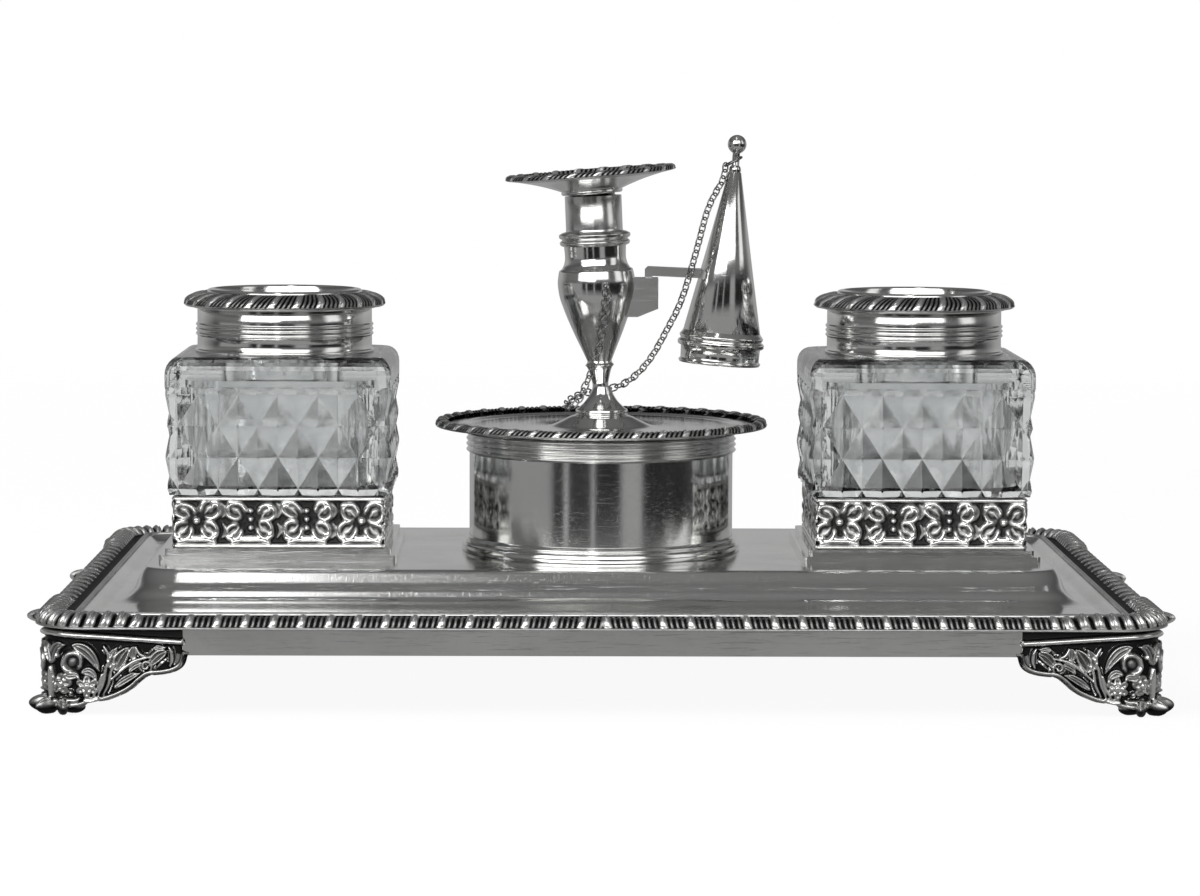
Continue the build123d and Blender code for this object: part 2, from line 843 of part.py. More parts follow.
nozzle_tube = turned(
    nozzle_section,
    (nozzle_bore, 0.9),
    [
        (nozzle_bore, -nozzle_depth + 0.8),
        (0, -nozzle_depth + 0.8),
        (0, -nozzle_depth),
        (nozzle_tube_radius, -nozzle_depth),
        (nozzle_tube_radius, 0),
        (7.9, 0),
        (8.2, 0.5),
        (7.9, 0.9),
    ],
)
save(nozzle_tube, "nozzle_tube")

nozzle_pan = turned(
    nozzle_section,
    (nozzle_bore, 0.9),
    [
        (7.9, 0.9),
        (pan_radius - 3.0, pan_height - 1.6),
        (pan_radius - 3.0, pan_height - 0.8),
        (8.2, 2.0),
        (nozzle_bore, 1.7),
    ],
)
save(nozzle_pan, "nozzle_pan")

nozzle_rim = turned(
    nozzle_section,
    (pan_radius - 3.0, pan_height - 1.6),
    [(pan_radius - 0.5, pan_height - 1.3)],
    ((pan_radius, pan_height - 0.6), (pan_radius - 0.6, pan_height)),
    ((pan_radius - 1.8, pan_height + 0.25), (pan_radius - 3.0, pan_height - 0.2)),
)
save(nozzle_rim, "nozzle_rim")


# ---------------------------------------------------------------- extinguisher

skirt_height = 4.2
rim_height = 8.6
cone_base_radius = 10.2
cone_top_radius = 1.7
inner_base = snuffer_skirt_radius - snuffer_wall - 0.6

snuffer_rim = turned(
    snuffer_section,
    (inner_base, 0),
    [
        (snuffer_skirt_radius, 0),
        (snuffer_skirt_radius + 0.3, 0.6),
        (snuffer_skirt_radius - 0.2, 1.2),
        (snuffer_skirt_radius - 0.2, skirt_height),
    ],
    ((snuffer_rim_radius, skirt_height + 1.2), (snuffer_skirt_radius, skirt_height + 2.3)),
    ((snuffer_rim_radius - 0.3, skirt_height + 3.3), (cone_base_radius, rim_height)),
    [(inner_base, rim_height)],
)
save(snuffer_rim, "extinguisher_rim")

snuffer_cone = turned(
    snuffer_section,
    (inner_base, rim_height),
    [
        (cone_base_radius, rim_height),
        (cone_top_radius, snuffer_height),
        (0, snuffer_height),
        (0, snuffer_height - 5.0),
    ],
)
save(snuffer_cone, "extinguisher_cone")

finial_neck = 1.0
ball_radius = 2.5
ball_height = snuffer_height + 7.4
snuffer_finial = turned(
    snuffer_section,
    (0, snuffer_height),
    [
        (1.5, snuffer_height),
        (1.6, snuffer_height + 0.7),
        (1.4, snuffer_height + 1.4),
        (finial_neck, snuffer_height + 1.8),
        (finial_neck, ball_height - math.sqrt(ball_radius**2 - finial_neck**2)),
    ],
    ((ball_radius, ball_height), (0, ball_height + ball_radius)),
)
save(snuffer_finial, "extinguisher_finial")

with BuildPart() as snuffer_hook:
    with BuildSketch(Plane.XZ.offset(-hook_width / 2)):
        with BuildLine():
            Polyline(
                (tongue_x + 0.8, hook_top_z),
                (34.5, hook_top_z - 0.9),
                (34.5, hook_top_z - 0.9 - hook_thick),
                (tongue_x + tongue_thick, hook_top_z - hook_thick),
                (tongue_x + tongue_thick, tongue_bottom_z),
                (tongue_x, tongue_bottom_z),
                (tongue_x, hook_top_z - 0.8),
                close=True,
            )
        make_face()
    extrude(amount=hook_width)
    # The bar ends on the cone's outer surface
    with BuildSketch(snuffer_section):
        with BuildLine():
            Polyline(
                (0, rim_height),
                (cone_base_radius, rim_height),
                (cone_top_radius, snuffer_height),
                (0, snuffer_height),
                close=True,
            )
        make_face()
    revolve(axis=axis_of(snuffer_section), mode=Mode.SUBTRACT)
    with Locations((45.0, 0, hook_top_z)):
        Box(20, 20, 20, mode=Mode.SUBTRACT)
save(snuffer_hook, "extinguisher_hook")

# Ring round the finial's neck that holds the chain
ring_radius = 2.4
ring_wire = 0.35
ring_tilt = 28.0
ring_x = 35.1
ring_z = 132.6
with BuildPart() as jump_ring:
    with Locations(Location((ring_x, 0, ring_z), (0, -ring_tilt, 0))):
        Torus(ring_radius, ring_wire)
save(jump_ring, "jump_ring")


# ---------------------------------------------------------------- chain

with BuildPart() as link:
    bend = (link_width - link_wire) / 2
    straight = (link_length - link_width) / 2
    with BuildLine(Plane.XZ) as link_path:
        Line((bend, -straight), (bend, straight))
        ThreePointArc((bend, straight), (0, straight + bend), (-bend, straight))
        Line((-bend, straight), (-bend, -straight))
        ThreePointArc((-bend, -straight), (0, -straight - bend), (bend, -straight))
    with BuildSketch(Plane(origin=(bend, 0, 0), z_dir=(0, 0, 1))):
        Circle(link_wire / 2)
    sweep(path=link_path.wires()[0])

# Where the chain hangs: from the ring at the top of the extinguisher, down beside the cone,
# in front of the hook, behind the stem and on to the boss of the lid, then up to the eye.
chain_route = [
    (33.0, -0.05, 131.05),
    (32.4, -0.3, 128.05),
    (30.3, -2.0, 124.2),
    (28.0, -3.6, 119.1),
    (26.5, -4.1, 113.6),
    (25.1, -4.2, 108.3),
    (23.7, -4.2, 103.3),
    (22.3, -3.8, 98.6),
    (20.4, -3.0, 93.5),
    (17.8, -2.0, 88.3),
    (14.8, -0.6, 82.6),
    (11.6, 1.4, 77.9),
    (8.4, 3.4, 74.7),
    (5.4, 5.0, 72.8),
    (2.4, 5.9, 71.9),
    (-0.8, 5.6, 71.4),
    (-3.6, 4.1, 70.9),
    (-6.0, 1.5, 70.2),
    (-7.8, -1.6, 69.4),
    (-8.5, -5.0, 68.4),
    (-7.2, -7.8, 68.4),
    (-5.2, -8.6, 70.6),
    (-4.0, -8.8, 73.4),
    (-2.4, -9.2, 77.0),
    (-1.0, -9.8, 81.0),
    (0.1, -10.4, 85.4),
    (1.0, -10.9, 89.9),
    (1.85, -11.3, 94.6),
    (2.0, -11.4, 97.68),
]

# Links are strung along a smooth line through the route, each a quarter turn from the last.
with BuildLine() as chain_line:
    Spline(*chain_route)
chain_path = chain_line.wires()[0]
link_count = round(chain_path.length / link_pitch) + 1
link_seats = []
side = Vector(1, 0, 0)
for number in range(link_count):
    along = chain_path.length * number / (link_count - 1)
    heading = chain_path.tangent_at(along, position_mode=PositionMode.LENGTH)
    centre = chain_path.position_at(along, position_mode=PositionMode.LENGTH)
    side = (side - heading * side.dot(heading)).normalized()
    seat = Plane(centre, x_dir=side, z_dir=heading)
    roll = -link_twist if number % 2 == 0 else link_twist
    link_seats.append(seat.location * Location((0, 0, 0), (0, 0, roll)))

# The upper part hangs between the extinguisher and the lid; the lower part stays with the lid.
first_lower = round(0.62 * link_count)
for node, seats in [("chain_upper", link_seats[:first_lower]), ("chain_lower", link_seats[first_lower:])]:
    with BuildPart() as chain:
        with Locations(*seats):
            add(link.part)
    save(chain, node)
print("chain of", link_count, "links along", round(chain_path.length, 1), "mm")
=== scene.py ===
# %% [markdown]
# # Desk inkstand: looks
# A silver inkstand with a gadrooned tray on four cast feet, two cut-glass ink bottles in square
# holders, and a drum box whose lid carries a taperstick and its chained extinguisher.
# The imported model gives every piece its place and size. This notebook gives the pieces their
# surface: smooth turned silver, cast relief, gadroon lobes, cut glass, and the studio.

# %% Load the frame
import json
import math

import bpy
import numpy as np
from mathutils import Matrix, Vector


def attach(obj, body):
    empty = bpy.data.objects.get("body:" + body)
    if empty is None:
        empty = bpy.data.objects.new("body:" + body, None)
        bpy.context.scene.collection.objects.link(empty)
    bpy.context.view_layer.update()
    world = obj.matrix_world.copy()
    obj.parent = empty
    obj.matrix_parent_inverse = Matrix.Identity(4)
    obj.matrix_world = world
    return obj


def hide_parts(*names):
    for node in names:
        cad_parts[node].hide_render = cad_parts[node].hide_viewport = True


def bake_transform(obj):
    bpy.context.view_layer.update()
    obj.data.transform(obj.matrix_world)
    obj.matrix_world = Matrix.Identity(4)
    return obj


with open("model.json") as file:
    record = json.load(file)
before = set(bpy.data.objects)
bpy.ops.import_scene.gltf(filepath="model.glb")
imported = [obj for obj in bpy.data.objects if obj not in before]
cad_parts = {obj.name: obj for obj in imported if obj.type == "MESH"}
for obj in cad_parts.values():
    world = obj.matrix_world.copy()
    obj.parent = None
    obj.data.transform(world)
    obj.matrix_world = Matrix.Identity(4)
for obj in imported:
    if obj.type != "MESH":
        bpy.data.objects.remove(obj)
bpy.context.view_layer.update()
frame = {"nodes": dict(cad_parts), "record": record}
nodes = frame["nodes"]

# %% [markdown]
# ## The camera
# The photograph was taken from a little above the lid, with a long lens: the lid's ellipse is
# thin and the back of the tray is only a tenth smaller than the front. Camera, turn and lens
# were fitted to the corners of the tray and the edges of the drum.

# %% Camera
MM = 0.001
PICTURE_WIDTH = 1200
FOCAL_PIXELS = 3974.8
SENSOR = 36.0

camera_place = Vector((-12.63, -1051.1, 153.23)) * MM
camera_yaw = math.radians(0.70)
camera_pitch = math.radians(5.254)
camera_roll = math.radians(0.235)

ahead = Vector(
    (
        math.sin(camera_yaw) * math.cos(camera_pitch),
        math.cos(camera_yaw) * math.cos(camera_pitch),
        -math.sin(camera_pitch),
    )
)
level = Vector((math.cos(camera_yaw), -math.sin(camera_yaw), 0))
above = level.cross(ahead)
rightward = level * math.cos(camera_roll) + above * math.sin(camera_roll)
upward = above * math.cos(camera_roll) - level * math.sin(camera_roll)

camera_data = bpy.data.cameras.new("camera")
camera_data.sensor_width = SENSOR
camera_data.lens = FOCAL_PIXELS * SENSOR / PICTURE_WIDTH
camera = bpy.data.objects.new("camera", camera_data)
turn = Matrix((rightward, upward, -ahead)).transposed().to_4x4()
camera.matrix_world = Matrix.Translation(camera_place) @ turn
bpy.context.scene.collection.objects.link(camera)
bpy.context.scene.camera = camera
print("camera lens", round(camera_data.lens, 1), "mm")

# %% [markdown]
# ## Shader maths in plain Python
# A material is a sum of simple masks: scratches, tarnish, wear. Wrapping a socket in a class
# that knows + - * / lets those sums be written as sums, and each one adds its Math node.


# %% Sockets that can be added and multiplied
class Socket:
    """One output of a node, usable in sums with numbers and other sockets."""

    def __init__(self, shader, output):
        self.shader = shader
        self.output = output

    def combine(self, operation, first, second):
        return self.shader.add("ShaderNodeMath", {"operation": operation}, {0: first, 1: second})

    def __add__(self, other):
        return self.combine("ADD", self, other)

    __radd__ = __add__

    def __mul__(self, other):
        return self.combine("MULTIPLY", self, other)

    __rmul__ = __mul__

    def __sub__(self, other):
        return self.combine("SUBTRACT", self, other)

    def __rsub__(self, other):
        return self.combine("SUBTRACT", other, self)

    def size(self):
        """The value without its sign."""
        return self.shader.add("ShaderNodeMath", {"operation": "ABSOLUTE"}, {0: self})

    def over(self, low, high):
        """0 below low, 1 above high, and a straight ramp between."""
        inputs = {"Value": self, "From Min": low, "From Max": high}
        return self.shader.add("ShaderNodeMapRange", {"clamp": True}, inputs)


print("socket maths ready")


# %% Materials built by calls
class Shader:
    """A node tree that is built by calls."""

    def __init__(self, name, tree=None):
        self.material = None
        if tree is None:
            self.material = bpy.data.materials.new(name)
            self.material.use_nodes = True
            tree = self.material.node_tree
        tree.nodes.clear()
        self.tree = tree

    def add(self, kind, settings=None, inputs=None, output=0):
        """Adds a node of one kind, with its settings first and then its inputs."""
        node = self.tree.nodes.new(kind)
        for key, value in (settings or {}).items():
            if key == "stops":
                for stop, (place, tone) in zip(self.ramp_stops(node, len(value)), value):
                    stop.position = place
                    stop.color = (tone, tone, tone, 1)
            else:
                setattr(node, key, value)
        for key, value in (inputs or {}).items():
            if isinstance(value, Socket):
                self.tree.links.new(value.output, node.inputs[key])
            else:
                node.inputs[key].default_value = value
        return Socket(self, node.outputs[output]) if len(node.outputs) else node

    def ramp_stops(self, node, count):
        stops = node.color_ramp.elements
        while len(stops) < count:
            stops.new(0.5)
        return stops

    def noise(self, place, scale, detail=3.0, roughness=0.5, stretch=None):
        """A noise value from 0 to 1, with its features 1/scale metres across."""
        if stretch is not None:
            place = self.add("ShaderNodeMapping", None, {"Vector": place, "Scale": stretch})
        inputs = {"Vector": place, "Scale": scale, "Detail": detail, "Roughness": roughness}
        return self.add("ShaderNodeTexNoise", None, inputs)

    def split(self, vector):
        """The three parts of a vector."""
        first = self.add("ShaderNodeSeparateXYZ", None, {0: vector})
        return [Socket(self, output) for output in first.output.node.outputs]

    def blend(self, factor, dark, bright):
        """A colour between two colours."""
        inputs = {"Factor": factor, "A": dark, "B": bright}
        return self.add("ShaderNodeMix", {"data_type": "RGBA"}, inputs, output=2)


print("shader builder ready")

# %% [markdown]
# ## Silver
# Old silver is never a perfect mirror. Polishing leaves hair-fine scratches in every direction,
# handling leaves soft cloudy patches, and tarnish stays where a cloth can't reach. So the silver
# has a tone that drifts a little, a roughness that follows the clouds, and a very small bump of
# crossed scratches. On cast and gadrooned pieces each point also carries its own height, from 0
# in the ground to 1 on the high spots, which darkens the ground. A picture of scratches would
# do the same, but noise in space needs no unwrapping and never repeats.


# %% How silver is made
finishes = {}


def finished(shader, name, inputs):
    """Closes a material with its surface shader and keeps it under its name."""
    surface = shader.add("ShaderNodeBsdfPrincipled", None, inputs)
    shader.add("ShaderNodeOutputMaterial", None, {"Surface": surface})
    finishes[name] = shader.material


def grey(tone):
    """A grey with the faint warmth of silver."""
    return (tone, tone, tone * 0.985, 1)


def silver(name, tone, shine, scratches=1.0, ground=None, tarnish=None):
    """Polished silver, with shine as its least roughness. ground is a pair of relief heights:
    tarnish covers all that is lower than the first, and nothing that is higher than the second."""
    shader = Shader(name)
    place = shader.add("ShaderNodeTexCoord", output="Object")
    clouds = shader.noise(place, 38, 4.0, 0.6)
    fine = shader.noise(place, 620, 3.0, 0.6)
    along = shader.noise(place, 60, 3.0, 0.7, (1.2, 26, 26))
    across = shader.noise(place, 60, 3.0, 0.7, (26, 1.6, 14))
    hairs = along.over(0.55, 0.75) + across.over(0.58, 0.78)
    patch = clouds.over(0.35, 0.75)
    base = shader.blend(patch, grey(tone), grey(tone * 0.90))
    rough = shine + 0.06 * patch + 0.05 * hairs
    if ground is not None:
        height = shader.add("ShaderNodeAttribute", {"attribute_name": "relief"}, output="Fac")
        clean = (height + 0.22 * fine - 0.11).over(ground[0], ground[1])
        base = shader.blend(clean, grey(tarnish), base)
        rough = rough + 0.28 * (1 - clean)
    bumps = {"Strength": 0.16 * scratches, "Distance": 0.00006, "Height": 0.5 * fine + 0.7 * hairs}
    normal = shader.add("ShaderNodeBump", None, bumps)
    inputs = {"Base Color": base, "Roughness": rough, "Metallic": 1.0, "Normal": normal}
    finished(shader, name, inputs)


print("a tone of 0.86 gives", grey(0.86))

# %% Silver finishes
silver("tray_silver", tone=0.82, shine=0.09)
silver("plain_silver", tone=0.86, shine=0.09, scratches=0.8)
silver("worn_silver", tone=0.80, shine=0.16, scratches=1.2)
silver("dull_silver", tone=0.62, shine=0.30, scratches=1.4)
silver("gadroon_silver", 0.93, 0.25, scratches=0.5, ground=(0.42, 0.90), tarnish=0.022)
silver("cast_silver", 0.86, 0.17, ground=(0.16, 0.80), tarnish=0.022)
silver("band_silver", 0.88, 0.15, ground=(0.30, 0.90), tarnish=0.04)
silver("chain_silver", tone=0.30, shine=0.24)
print("silver finishes:", ", ".join(finishes))

# %% [markdown]
# ## Brass fixings and cut glass
# The studs and nuts under the tray are plain brass, dulled by age. The bottles are thick clear
# glass: most of what the eye sees is the bending of light at the facets. Old glass is a little
# grey and its faces wave slightly, so the tone and the bump share one slow noise. Old ink has
# left a haze on the walls of the hollow inside.


# %% Brass and glass
# How far each bottle stands from the middle, in mm, and the wall of its hollow, in metres from
# the bottle's own axis
bottle_x = 83.3
hollow_wall = (0.0252, 0.0258)


def brass(name):
    shader = Shader(name)
    place = shader.add("ShaderNodeTexCoord", output="Object")
    dull = shader.noise(place, 300, 3.0)
    base = shader.blend(dull, (0.62, 0.46, 0.22, 1), (0.36, 0.25, 0.12, 1))
    inputs = {"Base Color": base, "Roughness": 0.25 + 0.2 * dull, "Metallic": 1.0}
    finished(shader, name, inputs)


def cut_glass(name):
    shader = Shader(name)
    place = shader.add("ShaderNodeTexCoord", output="Object")
    streak = shader.noise(place, 90, 3.0)
    wear = shader.noise(place, 500, 3.0)
    waves = {"Strength": 0.45, "Distance": 0.0005, "Height": streak + 0.14 * wear}
    x, y, _ = shader.split(place)
    off_axis = (x.size() - bottle_x * MM).size()
    haze = (1 - off_axis.over(*hollow_wall)) * (1 - y.size().over(*hollow_wall))
    inputs = {
        "Base Color": shader.blend(
            streak.over(0.3, 0.7), (0.86, 0.87, 0.87, 1), (0.70, 0.72, 0.72, 1)
        ),
        "Roughness": 0.02 + 0.06 * wear.over(0.5, 0.8) + 0.14 * haze,
        "Transmission Weight": 1.0,
        "IOR": 1.5,
        "Normal": shader.add("ShaderNodeBump", None, waves),
    }
    finished(shader, name, inputs)


brass("fixing_brass")
cut_glass("cut_glass")
print("brass and glass ready")

# %% [markdown]
# ## Meshes from rows of points
# Every silver form here is a skin over rows of points: rings round a turned piece, loops round
# the tray, or a strip along a border. One function turns such rows into a mesh, stores the
# relief height of each point, and hands the piece to its body. Screw and array modifiers could
# build some of them, but rows of points can carry lobes and relief wherever they are wanted.


# %% Handing a piece to its body
made = []


def add_piece(name, mesh, finish, body, node):
    """A mesh on its body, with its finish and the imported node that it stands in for, if any."""
    piece = bpy.data.objects.new(name, mesh)
    bpy.context.scene.collection.objects.link(piece)
    mesh.materials.append(finishes[finish])
    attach(piece, body)
    if node:
        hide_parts(node)
    made.append(name)
    return piece


# %% Rows of points to a mesh
def skin(name, rows, finish, body, node=None, relief=None, round_rows=True, closed=False):
    """A mesh over rows[i][j] in millimetres. round_rows joins each row's end to its start, and
    closed joins the last row to the first."""
    rows = np.asarray(rows, dtype=float)
    count, width = rows.shape[0], rows.shape[1]
    index = np.arange(count * width).reshape(count, width)
    upper = index if closed else index[:-1]
    lower = np.roll(index, -1, axis=0) if closed else index[1:]
    if round_rows:
        first, second = upper, np.roll(upper, -1, axis=1)
        third, fourth = np.roll(lower, -1, axis=1), lower
    else:
        first, second = upper[:, :-1], upper[:, 1:]
        third, fourth = lower[:, 1:], lower[:, :-1]
    faces = np.stack([first, second, third, fourth], axis=-1).reshape(-1, 4)
    mesh = bpy.data.meshes.new(name)
    mesh.from_pydata((rows.reshape(-1, 3) * MM).tolist(), [], faces.tolist())
    mesh.shade_smooth()
    if relief is not None:
        layer = mesh.attributes.new("relief", "FLOAT", "POINT")
        layer.data.foreach_set("value", np.asarray(relief, dtype=np.float32).reshape(-1))
    return add_piece(name, mesh, finish, body, node)


# %% Smooth curves through points
def smooth_through(points, steps=6):
    """Points on a smooth curve through the given ones that never overshoots them."""
    points = np.asarray(points, dtype=float)
    run = np.r_[0, np.cumsum(np.linalg.norm(np.diff(points, axis=0), axis=1))]
    gap = np.diff(run)
    slope = np.diff(points, axis=0) / gap[:, None]
    tangent = np.zeros_like(points)
    tangent[0], tangent[-1] = slope[0], slope[-1]
    for at in range(1, len(points) - 1):
        before, after = slope[at - 1], slope[at]
        same = before * after > 0
        total = np.where(same, before + after, 1.0)
        tangent[at] = np.where(same, 2 * before * after / total, 0.0)
    curve = []
    for at in range(len(points) - 1):
        for t in np.arange(steps) / steps:
            h = gap[at]
            start = (1 + 2 * t) * (1 - t) ** 2 * points[at] + t * (1 - t) ** 2 * h * tangent[at]
            end = t * t * (3 - 2 * t) * points[at + 1] + t * t * (t - 1) * h * tangent[at + 1]
            curve.append(start + end)
    curve.append(points[-1])
    return np.array(curve)


print("a bend of 3 points becomes", len(smooth_through([(0, 0), (1, 2), (3, 3)])), "points")

# %% [markdown]
# ## Turned pieces
# Most of the stand was spun or turned on a lathe: collars, caps, drum, lid, taperstick and
# extinguisher. A turned piece is one profile of radius and height, carried round its axis. The
# taperstick, its nozzle and the extinguisher lean a little, so the axis can lean too. A sharp
# edge is two profile points very close together, which keeps the smooth shading crisp.


# %% Turning a profile
CRISP = 0.03


def crisped(profile):
    """Each corner of a straight-sided profile becomes two points on either side of it."""
    points = np.asarray(profile, dtype=float)
    out = [points[0]]
    for before, here, after in zip(points[:-2], points[1:-1], points[2:]):
        back, on = before - here, after - here
        out.append(here + back / np.linalg.norm(back) * min(CRISP, np.linalg.norm(back) / 3))
        out.append(here + on / np.linalg.norm(on) * min(CRISP, np.linalg.norm(on) / 3))
    out.append(points[-1])
    return np.array(out)


def turned(name, axis, profile, body, node, sides, finish="plain_silver", lobes=None):
    """A turned piece. axis is (x, z, lean to the right in degrees). lobes gives, for angles and
    profile points, how far each point moves outward and up, and its relief height."""
    profile = np.asarray(profile, dtype=float)
    x, z, lean = axis
    lean = math.radians(lean)
    angle = np.arange(sides) / sides * 2 * math.pi
    radius = np.repeat(profile[:, :1], sides, axis=1)
    height = np.repeat(profile[:, 1:2], sides, axis=1)
    relief = None
    if lobes is not None:
        out, lift, relief = lobes(angle[None, :], profile)
        radius = radius + out
        height = height + lift
    local_x = radius * np.cos(angle)
    local_y = radius * np.sin(angle)
    rows = np.stack(
        [
            x + local_x * math.cos(lean) + height * math.sin(lean),
            local_y,
            z - local_x * math.sin(lean) + height * math.cos(lean),
        ],
        axis=-1,
    )
    return skin(name, rows, finish, body, node, relief)


print("a corner becomes", len(crisped([(0, 0), (1, 0), (1, 1)])) - 2, "points")

# %% [markdown]
# ## Gadroon
# Gadroon is a border of slanting lobes: here one wide bright lobe and then three narrow ones,
# again and again. Modelled as geometry, each lobe catches its own highlight, which no bump map
# does from every side. Each lobe is a half circle across, so the grooves between are sharp.


# %% One repeat of gadroon
# The wide lobe's share of a repeat, and the narrow lobes' count and height against it
wide_share = 0.38
narrow_count = 3
narrow_height = 0.62


def lobe_height(phase):
    """Height from 0 to 1 across one repeat: a wide lobe and then the narrow ones."""
    phase = phase % 1.0
    wide = 1 - ((phase - wide_share / 2) / (wide_share / 2)) ** 2
    height = np.sqrt(np.clip(wide, 0, 1))
    narrow = (1 - wide_share) / narrow_count
    for number in range(narrow_count):
        near = 1 - ((phase - wide_share - (number + 0.5) * narrow) / (0.42 * narrow)) ** 2
        height = np.maximum(height, narrow_height * np.sqrt(np.clip(near, 0, 1)))
    return height


print("one repeat: a lobe of", wide_share, "and", narrow_count, "narrow ones")


# %% Gadroon on a turned rim
def ring_gadroon(first, last, repeats, slant, depth):
    """Lobes for a turned rim, on the profile points from first to last."""

    def lobes(angle, profile):
        along = np.linspace(0, 1, last - first + 1)[:, None]
        phase = repeats * (angle / (2 * math.pi)) + slant * along
        swell = np.sin(along * math.pi) ** 0.5
        height = lobe_height(phase)
        out = np.zeros((len(profile), angle.shape[1]))
        lift = np.zeros_like(out)
        relief = np.full_like(out, 0.8)
        direction = np.gradient(profile, axis=0)[first : last + 1]
        normal = np.stack([direction[:, 1], -direction[:, 0]], axis=1)
        normal /= np.linalg.norm(normal, axis=1)[:, None]
        sink = depth * (1 - height) * swell
        out[first : last + 1] = -sink * normal[:, :1]
        lift[first : last + 1] = -sink * normal[:, 1:]
        relief[first : last + 1] = height
        return out, lift, relief

    return lobes


def gadroon_rim(name, axis, lower, curve, body, node, sides, repeats, slant, depth):
    """A turned rim: a plain lower part, and then a curve that carries the lobes."""
    profile = np.vstack([lower, curve])
    lobes = ring_gadroon(len(lower), len(profile) - 1, repeats, slant, depth)
    return turned(name, axis, profile, body, node, sides, "gadroon_silver", lobes)


print("gadroon rims ready")

# %% [markdown]
# ## The tray
# The tray is one sheet: a flat plateau that falls away in a soft cove to a pen trough all round,
# then a low step up to the border. In polished metal every flat facet would show as a band, so
# the tray is skinned from closely spaced loops on a smooth curve, and given its thickness after.


# %% Rounded rectangle loops
def loop(half_x, half_y, radius, corner=14, side_x=44, side_y=28):
    """Points round a rounded rectangle, with the same count for every size."""
    points = []
    quarter = math.pi / 2
    signs = [(1, 1), (-1, 1), (-1, -1), (1, -1)]
    centres = [np.array([x * (half_x - radius), y * (half_y - radius)]) for x, y in signs]
    for number, centre in enumerate(centres):
        for step in range(corner + 1):
            turn_by = quarter * number + quarter * step / corner
            points.append(centre + radius * np.array([math.cos(turn_by), math.sin(turn_by)]))
        leave = points[-1]
        arrive = centres[(number + 1) % 4] + leave - centre
        side = side_x if number % 2 == 0 else side_y
        for step in range(1, side):
            points.append(leave + (arrive - leave) * step / side)
    return np.array(points)


print("points on a loop:", len(loop(20, 10, 2)))

# %% Slope of the tray
plateau_x, plateau_y, plateau_radius = 115.4, 47.5, 9.0
plateau_z, trough_z = 29.8, 22.0
# The slope is steeper at the short sides, by this share of its width
side_squeeze = 0.56
sheet_thickness = 1.2

# From the plateau's edge: distance out, and height
slope_curve = smooth_through(
    [
        (0, 29.8), (1.2, 29.72), (2.0, 29.45), (2.45, 29.15), (3.0, 28.7), (3.6, 28.1),
        (4.2, 27.35), (4.7, 26.6), (5.2, 25.7), (5.65, 24.9), (6.2, 24.15), (7.1, 23.4),
        (8.4, 22.8), (10.4, 22.3), (12.6, 22.08), (15, 22.0),
    ],
    4,
)
print("slope falls", plateau_z - trough_z, "mm in", len(slope_curve), "steps")

# %% Tray sheet
# Half length, half depth, corner radius and height of each loop, from the middle outward
tray_loops = [
    (plateau_x * share, plateau_y * share, plateau_radius * share, plateau_z)
    for share in (0.02, 0.3, 0.6, 0.85, 0.97)
]
for out, z in slope_curve:
    half_x = plateau_x + side_squeeze * out
    tray_loops.append((half_x, plateau_y + out, plateau_radius + 0.3 * out, z))
tray_loops.append((123.95, 77.0, 12.0, trough_z))
tray_loops.extend(
    smooth_through([(123.97, 81.5, 8, 22.0), (125.0, 83.0, 7.5, 22.25), (126.2, 84.2, 7, 22.9)], 5)
)
tray_loops.append((127.0, 85.0, 6.5, 23.5))
tray_loops.append((127.05, 85.05, 6.5, 23.55))
tray_loops.append((128.0, 86.0, 6.0, 23.55))
tray_rows = []
for half_x, half_y, radius, z in tray_loops:
    flat = loop(half_x, half_y, radius)
    tray_rows.append(np.column_stack([flat, np.full(len(flat), z)]))
tray = skin("tray_sheet", tray_rows, "tray_silver", "stand", "tray_plate")
thick = tray.modifiers.new("thickness", "SOLIDIFY")
thick.thickness = sheet_thickness * MM
thick.offset = 1.0
print("tray sheet:", len(tray_rows), "loops")

# %% [markdown]
# ## The border
# The border is a cast strip soldered round the tray: a plain lip below, the gadroon above it,
# a hollow and then a thin inner wire. A strip with the true section runs along each straight
# side. The lobes lean away from the middle of each side.


# %% The section of the border
# Distance in from the outer edge, and height
strip_section = np.vstack(
    [
        smooth_through(
            [(2.4, 20.95), (0.5, 20.92), (0.0, 21.2), (0.25, 21.5), (0.78, 21.55)], 3
        )[:-1],
        smooth_through(
            [(0.8, 21.55), (0.85, 22.2), (1.6, 23.6), (3.4, 24.4), (5.4, 24.0), (6.6, 23.1)], 5
        ),
        smooth_through([(6.8, 22.9), (7.8, 22.75), (9.0, 23.0), (9.5, 23.4)], 3),
        smooth_through([(9.5, 23.5), (9.9, 23.95), (10.4, 24.0), (10.8, 23.7), (11.0, 23.2)], 3),
    ]
)
lobe_rows = np.where((strip_section[:, 0] >= 0.79) & (strip_section[:, 0] <= 6.61))[0]
first_lobe, last_lobe = lobe_rows[np.argmax(lobe_rows > 5)], lobe_rows[-1]
hollow_from, hollow_to = 6.6, 9.4
print("border section:", len(strip_section), "points, lobes on", last_lobe - first_lobe + 1)


